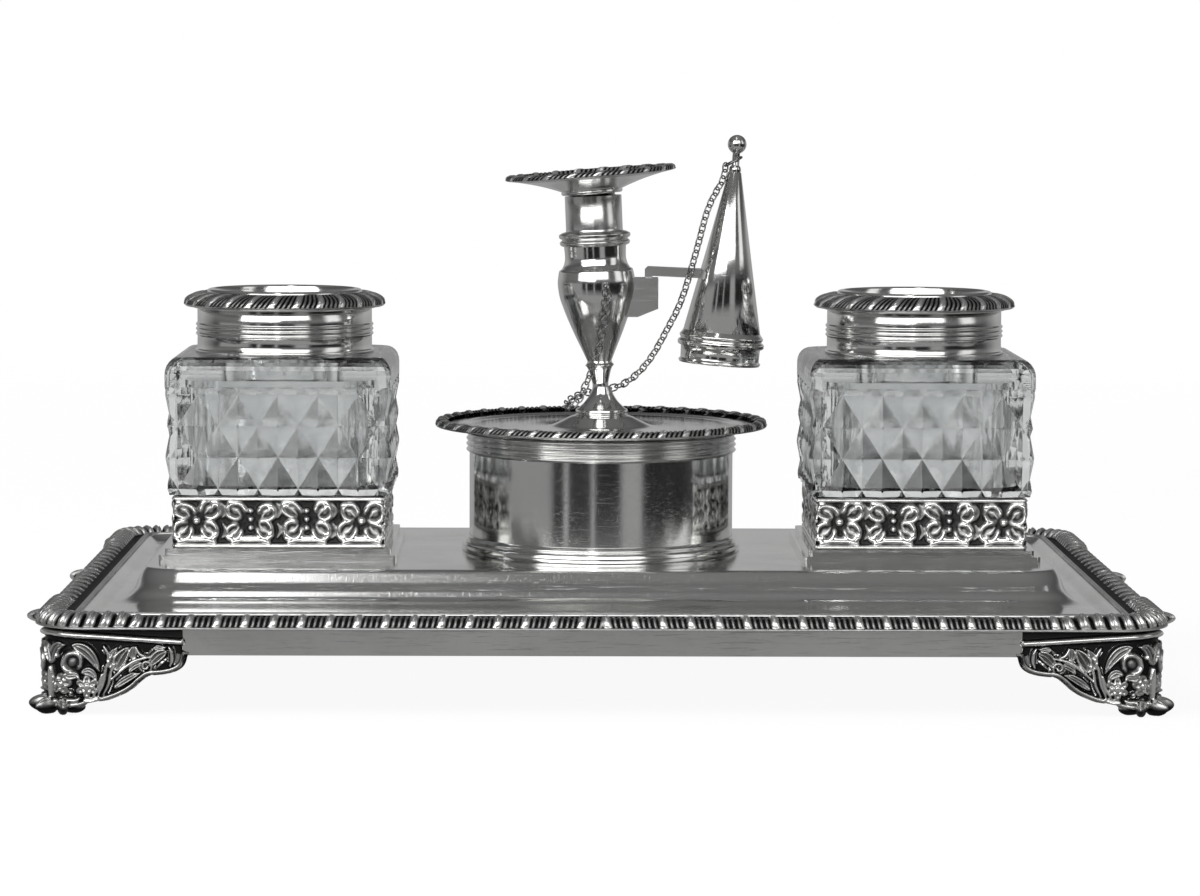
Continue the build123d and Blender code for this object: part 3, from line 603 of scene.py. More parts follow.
# %% A strip with gadroon
def strip(name, path, node, repeat, slant, depth, lean_flip=None, lift=0.0, lobe=lobe_height):
    """A border strip along a path of points, outward directions and run, all in mm. The lobes
    lean the other way before the run of lean_flip, and rise by lift away from the ends."""
    points, outward, run = path
    inward = strip_section[:, 0]
    level = strip_section[:, 1]
    tangent = np.gradient(strip_section, axis=0)
    normal = np.stack([-tangent[:, 1], tangent[:, 0]], axis=1)
    normal /= np.linalg.norm(normal, axis=1)[:, None]
    across = np.zeros(len(inward))
    across[first_lobe : last_lobe + 1] = np.linspace(0, 1, last_lobe - first_lobe + 1)
    inside = np.zeros(len(inward), dtype=bool)
    inside[first_lobe : last_lobe + 1] = True
    swell = np.where(inside, np.sin(np.clip(across, 0.03, 0.97) * math.pi) ** 0.45, 0)
    side = np.ones(len(run)) if lean_flip is None else np.sign(run - lean_flip)
    phase = run[:, None] / repeat + side[:, None] * slant * across[None, :]
    height = lobe(phase)
    ends = np.clip(np.minimum(run - run[0], run[-1] - run) / 5.0, 0, 1)[:, None]
    sink = depth * (1 - height) * swell[None, :] - lift * ends * swell[None, :]
    relief = np.where(inside[None, :], height, 0.75)
    hollow = (inward > hollow_from) & (inward < hollow_to)
    relief = np.where(hollow[None, :], 0.35, relief)
    q = inward[None, :] - sink * normal[None, :, 0]
    z = level[None, :] - sink * normal[None, :, 1]
    rows = np.stack(
        [
            points[:, 0][:, None] - outward[:, 0][:, None] * q,
            points[:, 1][:, None] - outward[:, 1][:, None] * q,
            z,
        ],
        axis=-1,
    )
    return skin(name, rows, "gadroon_silver", "stand", node, relief, round_rows=False)


print("strip builder ready")

# %% The four straight strips
half_x, half_y, corner_radius = 139.0, 97.0, 14.0
leg_x, leg_y = 112.0, 57.0
step_length = 0.28
for name, half, direction in [
    ("front", leg_x, (0, -1)),
    ("back", leg_x, (0, 1)),
    ("left", leg_y, (-1, 0)),
    ("right", leg_y, (1, 0)),
]:
    run = np.arange(-half, half + step_length / 2, step_length)
    outward = np.tile(np.array(direction, dtype=float), (len(run), 1))
    points = outward * (half_x, half_y) + np.outer(run, np.abs(direction[::-1]))
    strip(
        f"gadroon_{name}", (points, outward, run), f"border_{name}",
        repeat=6.8, slant=0.16, depth=1.25, lean_flip=0.0,
    )
print("gadroon strips ready")

# %% [markdown]
# ## The corner ornaments
# At each corner the gadroon gives way to bold slanting leaves that turn the corner. They could
# be modelled one by one, but they follow the same section as the border. So the same strip turns
# the corner here, with one leaf to each repeat in place of the lobes.


# %% The way round a corner
def corners():
    """The name and the signs of x and y of each corner, in the order they are made."""
    for depth_name, sign_y in (("back", 1), ("front", -1)):
        for side_name, sign_x in (("left", -1), ("right", 1)):
            yield f"{depth_name}_{side_name}", sign_x, sign_y


def corner_path(sign_x, sign_y):
    """The outer edge from the end of the long leg, round the corner, to the short leg."""
    centre_x, centre_y = half_x - corner_radius, half_y - corner_radius
    long_leg = np.arange(leg_x, centre_x, step_length)
    angles = np.linspace(math.pi / 2, 0, 90)
    short_leg = np.arange(centre_y, leg_y - step_length / 2, -step_length)
    points = [(x, half_y, 0.0, 1.0) for x in long_leg]
    for angle in angles:
        c, s = math.cos(angle), math.sin(angle)
        points.append((centre_x + corner_radius * c, centre_y + corner_radius * s, c, s))
    points.extend((half_x, y, 1.0, 0.0) for y in short_leg[1:])
    points = np.array(points)
    points[:, [0, 2]] *= sign_x
    points[:, [1, 3]] *= sign_y
    gaps = np.linalg.norm(np.diff(points[:, :2], axis=0), axis=1)
    return points[:, :2], points[:, 2:], np.r_[0, np.cumsum(gaps)]


print("corners:", [corner for corner, _, _ in corners()])


# %% Corner strips
def leaf_lobe(phase):
    """One bold leaf to each repeat, with a sunk midrib and a narrow dark gap."""
    phase = phase % 1.0
    body = np.sqrt(np.clip(1 - ((phase - 0.46) / 0.44) ** 2, 0, 1))
    rib = 1 - 0.35 * np.exp(-(((phase - 0.34) / 0.07) ** 2))
    return body * rib


for corner, sign_x, sign_y in corners():
    strip(
        f"leaf_{corner}", corner_path(sign_x, sign_y), f"corner_{corner}",
        repeat=3.7, slant=0.55, depth=1.9, lift=0.9, lobe=leaf_lobe,
    )
print("corner strips ready")

# %% [markdown]
# ### Ears and side shells
# Where the leaves end on each short side a pointed, fluted shell stands out sideways, and a
# smaller one marks the middle of the side. A ring of points that grows and shrinks along the
# shell gives its pointed outline, and the ring's size ripples with the flutes.


# %% Ears and side shells
ear_y, ear_half, ear_z = 78.0, 3.4, 21.9
shell_half, shell_z = 2.3, 22.0
ear_thick, ear_flutes = 1.9, 3
# Tips at the back and at the front, by the sign of y
ear_tips = {1: 140.2, -1: 141.8}
shell_tip = 140.7


def leaf_ear(name, tip_x, middle_y, half, base_z, node=None):
    """A pointed shell standing out sideways from the border, fluted from its root."""
    root_x = half_x - 2.6
    side = math.copysign(1, tip_x)
    rows, relief = [], []
    for v in np.linspace(-1, 1, 61):
        reach = (abs(tip_x) - root_x) * max((1 - abs(v)) ** 0.85, 0.02)
        flute = abs(math.cos(v * math.pi * ear_flutes / 2)) ** 0.7
        angle = np.arange(24) / 24 * 2 * math.pi
        out = root_x + reach * np.cos(angle) * (0.93 + 0.07 * flute)
        lift = ear_thick * (0.45 + 0.55 * flute) * (1 - 0.5 * abs(v)) * np.sin(angle)
        row = np.column_stack([side * out, np.full(24, middle_y + half * v), base_z + lift])
        rows.append(row)
        relief.append(np.full(24, 0.25 + 0.75 * flute))
    return skin(name, rows, "gadroon_silver", "stand", node, relief)


for corner, sign_x, sign_y in corners():
    leaf_ear(f"ear_{corner}", sign_x * ear_tips[sign_y], sign_y * ear_y, ear_half, ear_z)
for hand, sign_x in (("left", -1), ("right", 1)):
    tip_x = sign_x * shell_tip
    leaf_ear(f"shell_{hand}", tip_x, 0.0, shell_half, shell_z, f"side_shell_{hand}")
print("ears and side shells ready")

# %% [markdown]
# ## The feet and the flower bands
# Both are castings: leaves, scrolls and flowers standing up from a ground that has gone black.
# Each is a sheet of points pushed outward by a height map that is drawn from strokes: a stroke
# is a line with a swelling width, and its height is a rounded ridge. Moving the points, rather
# than a bump map, lets the relief show at the edges and throw its own shadow.


# %% Strokes for relief
def stroke(u, v, points, width, tip):
    """A rounded ridge along a smooth line, narrower at its ends. Height 0 to 1."""
    line = smooth_through(points, 10)
    height = np.zeros_like(u)
    for number, (cu, cv) in enumerate(line):
        t = number / (len(line) - 1)
        half = width * (tip + (1 - tip) * math.sin(math.pi * min(max(t, 0.02), 0.98)) ** 0.7)
        near = 1 - ((u - cu) ** 2 + (v - cv) ** 2) / half**2
        height = np.maximum(height, np.sqrt(np.clip(near, 0, 1)))
    return height


def softened(height):
    """The same relief with its sharpest steps rounded, as casting and polishing leave it."""
    padded = np.pad(height, 1, mode="edge")
    rows = (padded[:-2] + 2 * padded[1:-1] + padded[2:]) / 4
    return (rows[:, :-2] + 2 * rows[:, 1:-1] + rows[:, 2:]) / 4


def dome(u, v, cu, cv, radius):
    near = 1 - ((u - cu) ** 2 + (v - cv) ** 2) / radius**2
    return np.sqrt(np.clip(near, 0, 1))


def curl(cu, cv, radius, start, turns):
    """Points of a scroll that winds in towards its centre, to a quarter of its radius."""
    points = []
    count = max(6, int(abs(turns) * 9))
    for number in range(count + 1):
        t = number / count
        angle = math.radians(start) + turns * 2 * math.pi * t
        reach = radius * (1 - 0.75 * t)
        points.append((cu + reach * math.cos(angle), cv + reach * math.sin(angle)))
    return points


print("a scroll of one turn has", len(curl(0, 0, 1, 0, 1)), "points")


# %% Flowers and petals
def flower(u, v, cu, cv, radius, petals, turn_by):
    """An open flower: hollowed petals round a knob."""
    away = np.hypot(u - cu, v - cv)
    angle = np.arctan2(v - cv, u - cu) - turn_by
    wave = np.abs(np.cos(angle * petals / 2))
    reach = radius * (0.55 + 0.45 * wave**0.6)
    body = np.clip(1 - (away / reach) ** 4, 0, 1) ** 0.5
    hollow = 1 - 0.55 * np.exp(-(((away - 0.55 * radius) / (0.22 * radius)) ** 2)) * wave**2
    knob = dome(u, v, cu, cv, 0.24 * radius)
    ring = np.clip(1 - np.abs(away - 0.3 * radius) / (0.07 * radius), 0, 1)
    return np.maximum(body * hollow * (1 - 0.6 * ring), knob)


def cup(u, v, cu, cv, wide, tall, turn_by, open_to):
    """A hollow petal: a raised rim round a shallow bowl, open on the side of open_to."""
    c, w = math.cos(turn_by), math.sin(turn_by)
    across = ((u - cu) * c + (v - cv) * w) / wide
    along = ((v - cv) * c - (u - cu) * w) / tall
    away = np.hypot(across, along)
    ridge = np.exp(-(((away - 0.76) / 0.25) ** 2))
    bowl = 0.5 * np.clip(1 - (away / 0.55) ** 2, 0, 1)
    toward = np.arctan2(open_to[1] - cv, open_to[0] - cu)
    off = np.abs((np.arctan2(v - cv, u - cu) - toward + math.pi) % (2 * math.pi) - math.pi)
    ridge = ridge * (1 - 0.8 * np.exp(-((off / 0.55) ** 2)))
    return np.maximum(ridge, bowl)


print("flowers and petals ready")

# %% [markdown]
# ### Holder bands
# Seen on the front: four units side by side, each of four hollow petals. The outer two stand
# round a knob and the inner two on a stem of three beads, with small sprays in the gaps and a
# husk below each. The carving is by hand, so each petal differs a little. The same panel goes
# on all four sides.


# %% Relief of the holder bands
band_half = 27.3
band_bottom, band_top = 32.8, 46.2
band_u = np.linspace(-band_half, band_half, 210)
band_v = np.linspace(band_bottom, band_top, 52)
U, V = np.meshgrid(band_u, band_v, indexing="ij")


def band_relief():
    """The height of the carving over one panel, from 0 to 1."""
    chance = np.random.default_rng(7)
    middle = 39.9
    forms = []
    for cu, stem in ((-21.2, False), (-7.2, True), (7.3, True), (21.5, False)):
        for way in (-1, 1):
            for lift in (-1, 1):
                reach = 3.9 if stem else 3.4
                wide, tall, lean, off_u, off_v = chance.uniform(-1, 1, 5)
                place_u = cu + way * reach + 0.5 * off_u
                place_v = middle + lift * 2.5 + 0.5 * off_v
                turn_by = way * lift * 0.6 + 0.7 * lean
                size = (3.1 + 0.6 * wide, 2.7 + 0.5 * tall)
                centre = (cu, middle + 0.4 * lean)
                forms.append(cup(U, V, place_u, place_v, *size, turn_by, centre))
                tip_v = middle + lift * (4.2 + 0.5 * lean)
                forms.append(dome(U, V, cu + way * (reach + 1.2), tip_v, 1.2))
                vein = [
                    (place_u - way * 1.4, place_v - lift * 1.2),
                    (place_u - way * 0.2, place_v + lift * 0.3),
                    (place_u + way * 1.0, place_v + lift * 0.5),
                ]
                forms.append(0.8 * stroke(U, V, vein, 0.55, 0.3))
        if stem:
            for bead in (-1, 0, 1):
                forms.append(dome(U, V, cu, middle + 0.4 + 2.2 * bead, 0.9))
        else:
            forms.append(dome(U, V, cu, middle, 1.2))
        husk = [(cu - 4.8, 34.3), (cu - 1.6, 35.2), (cu + 1.6, 35.2), (cu + 4.8, 34.3)]
        forms.append(stroke(U, V, husk, 1.1, 0.4))
    for cu in (-14.2, 0.05, 14.4):
        for lift in (-1, 1):
            spray = [
                (cu - 0.3, middle + lift * 0.6),
                (cu + 0.5, middle + lift * 2.6),
                (cu - 0.5, middle + lift * 4.6),
            ]
            forms.append(0.6 * stroke(U, V, spray, 0.7, 0.3))
    return np.maximum.reduce(forms)


band_height = softened(band_relief())
print("band relief:", band_height.shape, "points")

# %% Holder bands
rim_half = 0.75
rim = np.zeros_like(V)
for rim_z in (33.4, 45.6):
    rim = np.maximum(rim, np.clip(1 - np.abs(V - rim_z) / rim_half, 0, 1) ** 0.5)
band_height = np.maximum(band_height * (V < 45.0) * (V > 33.9), rim)
# Relief stands on the ground, and fades away at the corners where two panels meet
band_out = 26.55 + 1.15 * band_height
edge_fade = np.clip((band_half - np.abs(U)) / 0.6, 0, 1)
band_out = np.minimum(band_out, 26.9 + 0.9 * edge_fade * band_height)
relief = np.tile(band_height, (4, 1))
for hand, centre in (("left", -bottle_x), ("right", bottle_x)):
    sheets = []
    for quarter in range(4):
        c, s = math.cos(quarter * math.pi / 2), math.sin(quarter * math.pi / 2)
        x = U * c + band_out * s
        y = U * s - band_out * c
        sheets.append(np.stack([centre + x, y, V], axis=-1))
    skin(
        f"{hand}_flower_band", np.concatenate(sheets, axis=0), "band_silver", "stand",
        f"{hand}_holder_band", relief, round_rows=False, closed=True,
    )
print("flower bands ready")

# %% [markdown]
# ### Bracket feet
# Each foot is a bracket in two arms that meet at a rounded corner. Its lower edge drops from a
# scroll at the end of the arm, down a leaf edge, to a small clawed toe. Columns of points follow
# the bracket round, each from the lower edge up to the lip, and the strokes stand on them.

# %% The outline of a foot
foot_x, foot_y, foot_radius, foot_arm = 136.4, 94.8, 9.0, 34.4
foot_top = 20.8
# Distance from the corner along the arm, and height of the lower edge
arm_edge = smooth_through(
    [
        (-1, 1.6), (0, 1.6), (5.0, 1.6), (8.6, 2.0), (10.6, 2.6), (14.7, 3.5), (18.2, 4.7),
        (21.6, 6.6), (23.6, 8.4), (26.0, 9.9), (29.6, 10.3), (31.8, 10.8), (33.6, 12.0),
        (34.4, 14.6),
    ],
    8,
)
arm_flat = foot_arm - foot_radius
bend_length = foot_radius * math.pi / 2
foot_length = 2 * arm_flat + bend_length
foot_s = np.linspace(0, foot_length, 380)
foot_t = np.linspace(0, 1, 96)


def corner_distance(s):
    """How far along its own arm a column stands from the corner."""
    s = np.minimum(s, foot_length - s)
    in_bend = np.clip((s - arm_flat) / (bend_length / 2), 0, 1)
    return np.where(s < arm_flat, foot_arm - s, foot_radius * (1 - in_bend * 0.7))


away = corner_distance(foot_s)
low = np.interp(away, arm_edge[:, 0], arm_edge[:, 1])
Z = low[:, None] + (foot_top - low[:, None]) * foot_t[None, :]
D = np.repeat(away[:, None], len(foot_t), axis=1)
print("foot grid:", D.shape, "points")


# %% A leaf
def leaf(u, v, points, width):
    """A pointed leaf along a smooth line, with raised edges, hollow cheeks and a thin midrib.
    Height 0 to 1."""
    line = smooth_through(points, 14)
    share = np.full_like(u, 9.0)
    rib = np.full_like(u, 99.0)
    for number, (cu, cv) in enumerate(line):
        t = number / (len(line) - 1)
        half = width * max(math.sin(math.pi * t**0.8) ** 0.8, 0.16)
        away = np.hypot(u - cu, v - cv)
        rib = np.minimum(rib, away)
        share = np.minimum(share, away / half)
    raised = np.exp(-(((share - 0.74) / 0.22) ** 2))
    cheek = 0.34 * (share < 0.75)
    middle = 0.8 * np.clip(1 - (rib / 0.28) ** 2, 0, 1) * (share < 1)
    return np.maximum(np.maximum(raised, cheek), middle)


print("leaf ready")

# %% Relief of a foot
lip_z, lip_fall, lip_half = 19.9, 2.1, 0.85


def foot_relief():
    """One arm: leaves on curved stems, a hollow petal, two flowers by the corner and a scroll
    near the end. D is the distance from the corner and Z the height."""
    leaves = [
        ([(8.0, 17.0), (10.6, 15.9), (12.8, 13.6), (14.3, 10.6)], 1.25),
        ([(18.2, 11.0), (19.0, 13.0), (20.2, 14.8), (21.4, 16.4)], 1.5),
        ([(26.4, 12.0), (28.0, 14.0), (29.4, 15.0), (30.6, 15.4)], 1.2),
        ([(2.9, 12.4), (3.4, 14.6), (4.6, 16.6), (6.4, 17.0)], 1.1),
        ([(17.8, 6.4), (20.0, 8.2), (22.4, 9.6), (24.2, 10.2)], 0.8),
        ([(10.0, 10.2), (11.6, 10.6), (12.8, 9.8), (13.6, 8.2)], 0.9),
        ([(16.9, 11.4), (16.9, 13.2), (17.6, 15.0), (18.8, 16.6)], 0.85),
        ([(21.4, 10.4), (22.6, 11.8), (24.0, 12.4), (25.0, 12.2)], 0.7),
        ([(23.0, 13.4), (22.4, 14.6), (22.4, 15.8), (23.4, 16.8)], 0.8),
        ([(27.4, 16.2), (28.4, 16.4), (29.6, 16.3), (30.6, 16.6)], 0.6),
        ([(6.2, 9.8), (7.4, 9.4), (8.6, 9.6), (9.4, 8.6)], 0.8),
        ([(10.2, 3.6), (12.0, 3.6), (13.4, 4.0), (14.6, 4.4)], 0.6),
    ]
    forms = [leaf(D, Z, points, 1.15 * width) for points, width in leaves]
    strokes = [
        ([(14.0, 4.8), (15.3, 8.0), (15.9, 11.4), (17.2, 14.2)], 0.5),
        ([(15.2, 4.9), (16.6, 7.8), (17.1, 10.6), (18.2, 12.6)], 0.45),
        ([(12.8, 4.6), (14.0, 6.6), (14.6, 8.6), (14.9, 10.0)], 0.45),
        ([(17.2, 8.6), (20.0, 11.2), (23.4, 13.4), (26.6, 14.2)], 0.5),
        ([(15.4, 16.8), (16.1, 15.6), (16.5, 14.6), (16.6, 13.8)], 0.55),
        ([(23.2, 16.6), (23.6, 15.6), (24.3, 14.8), (25.4, 14.4)], 0.5),
        ([(31.4, 12.0), (31.9, 13.6), (31.8, 15.2), (31.2, 16.6)], 0.55),
        ([(2.8, 3.6), (2.8, 6.4), (2.9, 9.0), (2.8, 11.4)], 0.7),
        ([(9.4, 4.0), (8.2, 3.4), (6.8, 3.4), (5.4, 4.2)], 0.6),
    ]
    forms.extend(0.95 * stroke(D, Z, points, 1.15 * width, 0.45) for points, width in strokes)
    forms.append(cup(D, Z, 7.9, 12.8, 2.5, 3.1, -0.4, (9.4, 8.0)))
    forms.append(stroke(D, Z, curl(25.6, 11.9, 1.5, -40, 1.1), 0.42, 0.7))
    forms.append(flower(D, Z, 11.2, 6.8, 3.0, 6, 0.5))
    forms.append(0.9 * flower(D, Z, 5.2, 7.4, 2.9, 5, 0.2))
    for cu, cv, radius in ((7.6, 5.4, 0.6), (4.4, 14.2, 0.7), (3.8, 3.0, 0.8), (6.4, 2.2, 0.7)):
        forms.append(dome(D, Z, cu, cv, radius))
    lower_bead = np.clip(1 - ((Z - low[:, None] - 0.35) / 0.6) ** 2, 0, 1) ** 0.5
    lip_middle = lip_z - lip_fall * D / foot_arm
    lip = np.clip(1 - ((Z - lip_middle) / lip_half) ** 2, 0, 1) ** 0.5
    height = np.where(Z > lip_middle - 0.9, 0.0, np.maximum.reduce(forms))
    return softened(np.maximum(height, np.maximum(0.75 * lower_bead, lip)))


foot_height = foot_relief()
print("highest relief on a foot:", round(float(foot_height.max()), 2))


# %% Bracket feet
relief_depth, relief_sink = 1.35, 0.25
foot_belly = 0.21
foot_wall = 1.5


def column_place(s):
    """Where a column stands on the foot at the positive corner, and its outward direction."""
    if s < arm_flat:
        return (foot_x - foot_arm + s, foot_y), (0.0, 1.0)
    if s > arm_flat + bend_length:
        return (foot_x, foot_y - foot_radius - (s - arm_flat - bend_length)), (1.0, 0.0)
    angle = math.pi / 2 - (s - arm_flat) / foot_radius
    out = (math.cos(angle), math.sin(angle))
    base = (
        foot_x - foot_radius + foot_radius * out[0],
        foot_y - foot_radius + foot_radius * out[1],
    )
    return base, out


for corner, sign_x, sign_y in corners():
    rows = np.zeros((len(foot_s), len(foot_t), 3))
    for number, s in enumerate(foot_s):
        base, out = column_place(s)
        rise = relief_depth * foot_height[number] - relief_sink
        rise = rise + foot_belly * np.sin(foot_t * math.pi)
        rows[number, :, 0] = sign_x * (base[0] + out[0] * rise)
        rows[number, :, 1] = sign_y * (base[1] + out[1] * rise)
        rows[number, :, 2] = Z[number]
    foot = skin(
        f"bracket_{corner}", rows, "cast_silver", "stand", f"foot_{corner}",
        foot_height**1.3, round_rows=False,
    )
    # Mirrored corners have their faces turned over, so the wall has to grow the other way
    wall = foot.modifiers.new("thickness", "SOLIDIFY")
    wall.thickness = foot_wall * MM
    wall.offset = -1.0 if sign_x * sign_y > 0 else 1.0
print("bracket feet ready")

# %% [markdown]
# ### Toes
# Under each corner is a small paw of five rounded knuckles, spread like a fan. It could be
# sculpted, but at this size an egg that is cut flat by the table reads as a claw.

# %% Toes
toe_reach = 4.6
toe_long, toe_across = 3.4, 1.45
# Angle from the corner's diagonal, distance out and height of each knuckle
toe_fan = [(0.0, 4.6, 2.2), (-0.95, 5.0, 2.2), (0.95, 5.0, 2.2), (-1.8, 3.8, 1.9), (1.8, 3.8, 1.9)]


def knuckle(name, centre, turn_by, tall):
    """A rounded knuckle: an egg that lies on the table and points away from the foot."""
    polar = np.linspace(0.001, math.pi - 0.001, 15)[:, None]
    round_by = (np.arange(28) / 28 * 2 * math.pi)[None, :]
    narrow = 1 - 0.22 * np.cos(polar)
    forward = toe_long * np.cos(polar) * np.ones_like(round_by)
    side = toe_across * np.sin(polar) * narrow * np.cos(round_by)
    high = tall * np.sin(polar) * narrow * np.sin(round_by)
    c, w = math.cos(turn_by), math.sin(turn_by)
    x = centre[0] + forward * c - side * w
    y = centre[1] + forward * w + side * c
    z = np.maximum(centre[2] + high, 0)
    rows = np.stack([x, y, z], axis=-1)
    # Painted shade: the relief height follows how far each point of the knuckle faces up, so its
    # sides, tips and underside take the dark ground colour.
    painted_shade_relief = np.clip(0.3 + 0.7 * np.sin(round_by) * np.sin(polar), 0, 1)
    return skin(name, rows, "cast_silver", "stand", None, painted_shade_relief)


for corner, sign_x, sign_y in corners():
    middle_x, middle_y = sign_x * (foot_x - toe_reach), sign_y * (foot_y - toe_reach)
    outward = math.atan2(sign_y, sign_x)
    for number, (spread, reach, tall) in enumerate(toe_fan):
        way = outward + spread
        spot = (middle_x + reach * math.cos(way), middle_y + reach * math.sin(way), tall * 0.9)
        knuckle(f"toe_{corner}_{number}", spot, way, tall)
print("toes ready")

# %% [markdown]
# ## Bottle tops
# A plain collar with three reeds is cemented round the glass neck. The cap over it has a broad
# gadroon rim that slopes down and out, and a dished middle inside a raised ring. Each is a
# profile of radius and height in millimetres, read off the photograph and turned.

# %% Collars and caps
collar_reeds = [
    smooth_through([(23.0, 86.4 + 1.2 * n), (23.42, 87.0 + 1.2 * n), (23.0, 87.58 + 1.2 * n)], 6)
    for n in range(3)
]
collar_profile = np.vstack(
    [
        crisped([(21.3, 82.2), (23.6, 82.2), (23.6, 82.9), (23.05, 83.1), (23.0, 86.3)])[:-1],
        *collar_reeds,
        crisped([(23.0, 90.1), (23.0, 93.75), (21.3, 93.75)]),
    ]
)
cap_profile = np.vstack(
    [
        crisped([(0.02, 93.8), (24.0, 93.8), (24.0, 94.4), (20.5, 97.3)]),
        smooth_through([(20.45, 98.2), (20.1, 98.6), (19.4, 98.75), (18.8, 98.5), (18.5, 97.8)], 5),
        smooth_through([(18.45, 97.4), (18.2, 96.4), (16.6, 95.5), (12.0, 95.15), (0.02, 95.0)], 6),
    ]
)
rim_lower = crisped([(24.0, 94.0), (26.0, 94.25), (26.5, 94.7)])
rim_curve = smooth_through(
    [(26.6, 94.9), (26.4, 95.9), (25.3, 97.0), (23.4, 97.75), (21.6, 98.05), (20.5, 98.0)], 6
)
for hand, centre in (("left", -bottle_x), ("right", bottle_x)):
    axis = (centre, 0, 0)
    bottle, cap = f"bottle_{hand}", f"cap_{hand}"
    turned(f"{hand}_reeded_collar", axis, collar_profile, bottle, f"{hand}_collar", 192)
    turned(f"{hand}_cap_dish", axis, cap_profile, cap, f"{hand}_cap", 192)
    gadroon_rim(
        f"{hand}_cap_gadroon", axis, rim_lower, rim_curve, cap, f"{hand}_cap_rim", 1440,
        repeats=26, slant=-0.45, depth=0.95,
    )
print("bottle tops ready")

# %% [markdown]
# ## Drum and lid
# The drum is a plain cylinder between a stepped foot moulding and four reeds. Its lid is a
# shallow dish whose rim stands well clear of the drum, with a gadroon edge. The reeds are real
# rings rather than a bump, because each has to catch its own thin line of light.

# %% Drum
drum_axis = (0.5, 0, 0)
drum_sides = 256
drum_profile = crisped(
    [
        (33.7, 31.0), (33.7, 61.55), (34.9, 61.55), (34.9, 58.0), (34.9, 45.0), (34.9, 33.6),
        (34.9, 29.9),
    ]
)
turned("drum_body", drum_axis, drum_profile, "stand", "drum_wall", drum_sides)
moulding_profile = np.vstack(
    [
        crisped([(34.9, 29.85), (36.9, 29.85), (36.95, 31.0)])[:-1],
        smooth_through([(36.95, 31.0), (36.75, 31.8), (36.2, 32.3), (35.8, 32.5)], 5),
        smooth_through([(35.9, 32.6), (36.05, 32.95), (35.8, 33.3), (35.5, 33.5)], 5),
        crisped([(35.4, 33.6), (35.35, 33.8), (34.95, 33.85)]),
    ]
)
turned("drum_foot_rings", drum_axis, moulding_profile, "stand", "drum_foot_moulding", drum_sides)
reeds_from, reeds_to, reed_count = 55.7, 61.55, 4
reed = (reeds_to - reeds_from) / reed_count
reed_profile = np.vstack(
    [
        smooth_through(
            [
                (34.95, reeds_from + reed * n),
                (35.75, reeds_from + reed * (n + 0.5)),
                (34.97, reeds_from + reed * (n + 0.98)),
            ],
            8,
        )
        for n in range(reed_count)
    ]
)
turned("drum_reeds", drum_axis, reed_profile, "stand", "drum_top_reeds", drum_sides)
print("drum ready")

# %% Lid
lid_profile = np.vstack(
    [
        crisped([(36.4, 61.65), (43.0, 62.6), (43.1, 63.3), (40.7, 63.3)]),
        smooth_through([(40.6, 63.28), (37.4, 63.1), (34.6, 62.65), (30.0, 62.5)], 6),
        [(22.0, 62.5)],
        smooth_through(
            [(15.4, 62.5), (13.6, 62.7), (10.6, 63.9), (7.6, 65.25), (6.8, 65.4), (0.02, 65.4)], 6
        ),
    ]
)
turned("lid_dish", drum_axis, lid_profile, "lid", "lid_plate", drum_sides)
lid_lower = crisped([(40.8, 63.1), (43.2, 62.6), (43.8, 62.65), (43.95, 62.95)])
lid_curve = smooth_through(
    [(44.0, 63.05), (43.9, 63.8), (43.1, 64.6), (41.9, 64.75), (40.6, 64.0)], 6
)
gadroon_rim(
    "lid_gadroon", drum_axis, lid_lower, lid_curve, "lid", "lid_rim", 1600,
    repeats=40, slant=-0.3, depth=0.8,
)
print("lid ready")

# %% [markdown]
# ## Taperstick
# The stick leans a little to the left, as it does in the photograph: a bell foot, a thin stem
# with a knop, a vase, a doubled ring and the plain socket. The loose nozzle sits askew in it.
# From the stem up, heights are measured along the stick's own leaning axis.

# %% Foot and stem
# Each axis is its foot in x and z, and its lean to the right in degrees
stick = (0.6, 65.4, -2.45)
foot_axis = (0.6, 0, 0)
bell_profile = np.vstack(
    [
        crisped([(0.02, 65.42), (6.9, 65.42), (6.95, 66.4)])[:-1],
        smooth_through([(6.95, 66.5), (6.8, 67.0), (6.2, 67.3)], 4),
        smooth_through([(6.1, 67.35), (4.4, 69.0), (3.2, 70.8), (2.3, 73.0)], 6),
    ]
)
turned("stick_bell", foot_axis, bell_profile, "lid", "stick_foot", 96)
stem_profile = smooth_through(
    [
        (2.15, 7.2), (2.1, 8.2), (2.4, 9.8), (3.0, 12.0), (3.35, 12.8), (3.8, 13.3),
        (3.35, 13.9), (3.2, 14.5),
    ],
    6,
)
turned("stick_knop", stick, stem_profile, "lid", "stick_stem", 96)
print("foot and stem ready")

# %% Vase and socket
vase_profile = np.vstack(
    [
        smooth_through(
            [
                (3.2, 14.4), (4.3, 17.0), (6.6, 22.3), (8.9, 28.4), (10.0, 32.4),
                (10.25, 35.2), (9.85, 38.2),
            ],
            8,
        ),
        crisped([(9.75, 38.5), (9.4, 38.8), (9.1, 38.9)]),
        smooth_through([(9.05, 39.0), (8.4, 40.2), (8.05, 42.0), (8.2, 44.9)], 6),
    ]
)
turned("stick_urn", stick, vase_profile, "lid", "stick_vase", 128)
socket_profile = np.vstack(
    [
        smooth_through([(8.3, 44.9), (9.1, 45.3), (9.3, 45.9), (8.6, 46.7)], 6),
        smooth_through([(8.6, 46.7), (9.4, 47.3), (9.45, 47.9), (8.6, 48.5)], 6),
        crisped(
            [
                (8.3, 48.6), (7.55, 48.8), (7.5, 49.4), (7.5, 58.15), (6.9, 58.15), (6.9, 46.0),
                (0.02, 46.0),
            ]
        ),
    ]
)
turned("stick_barrel", stick, socket_profile, "lid", "stick_socket", 128, "worn_silver")
print("taperstick ready")

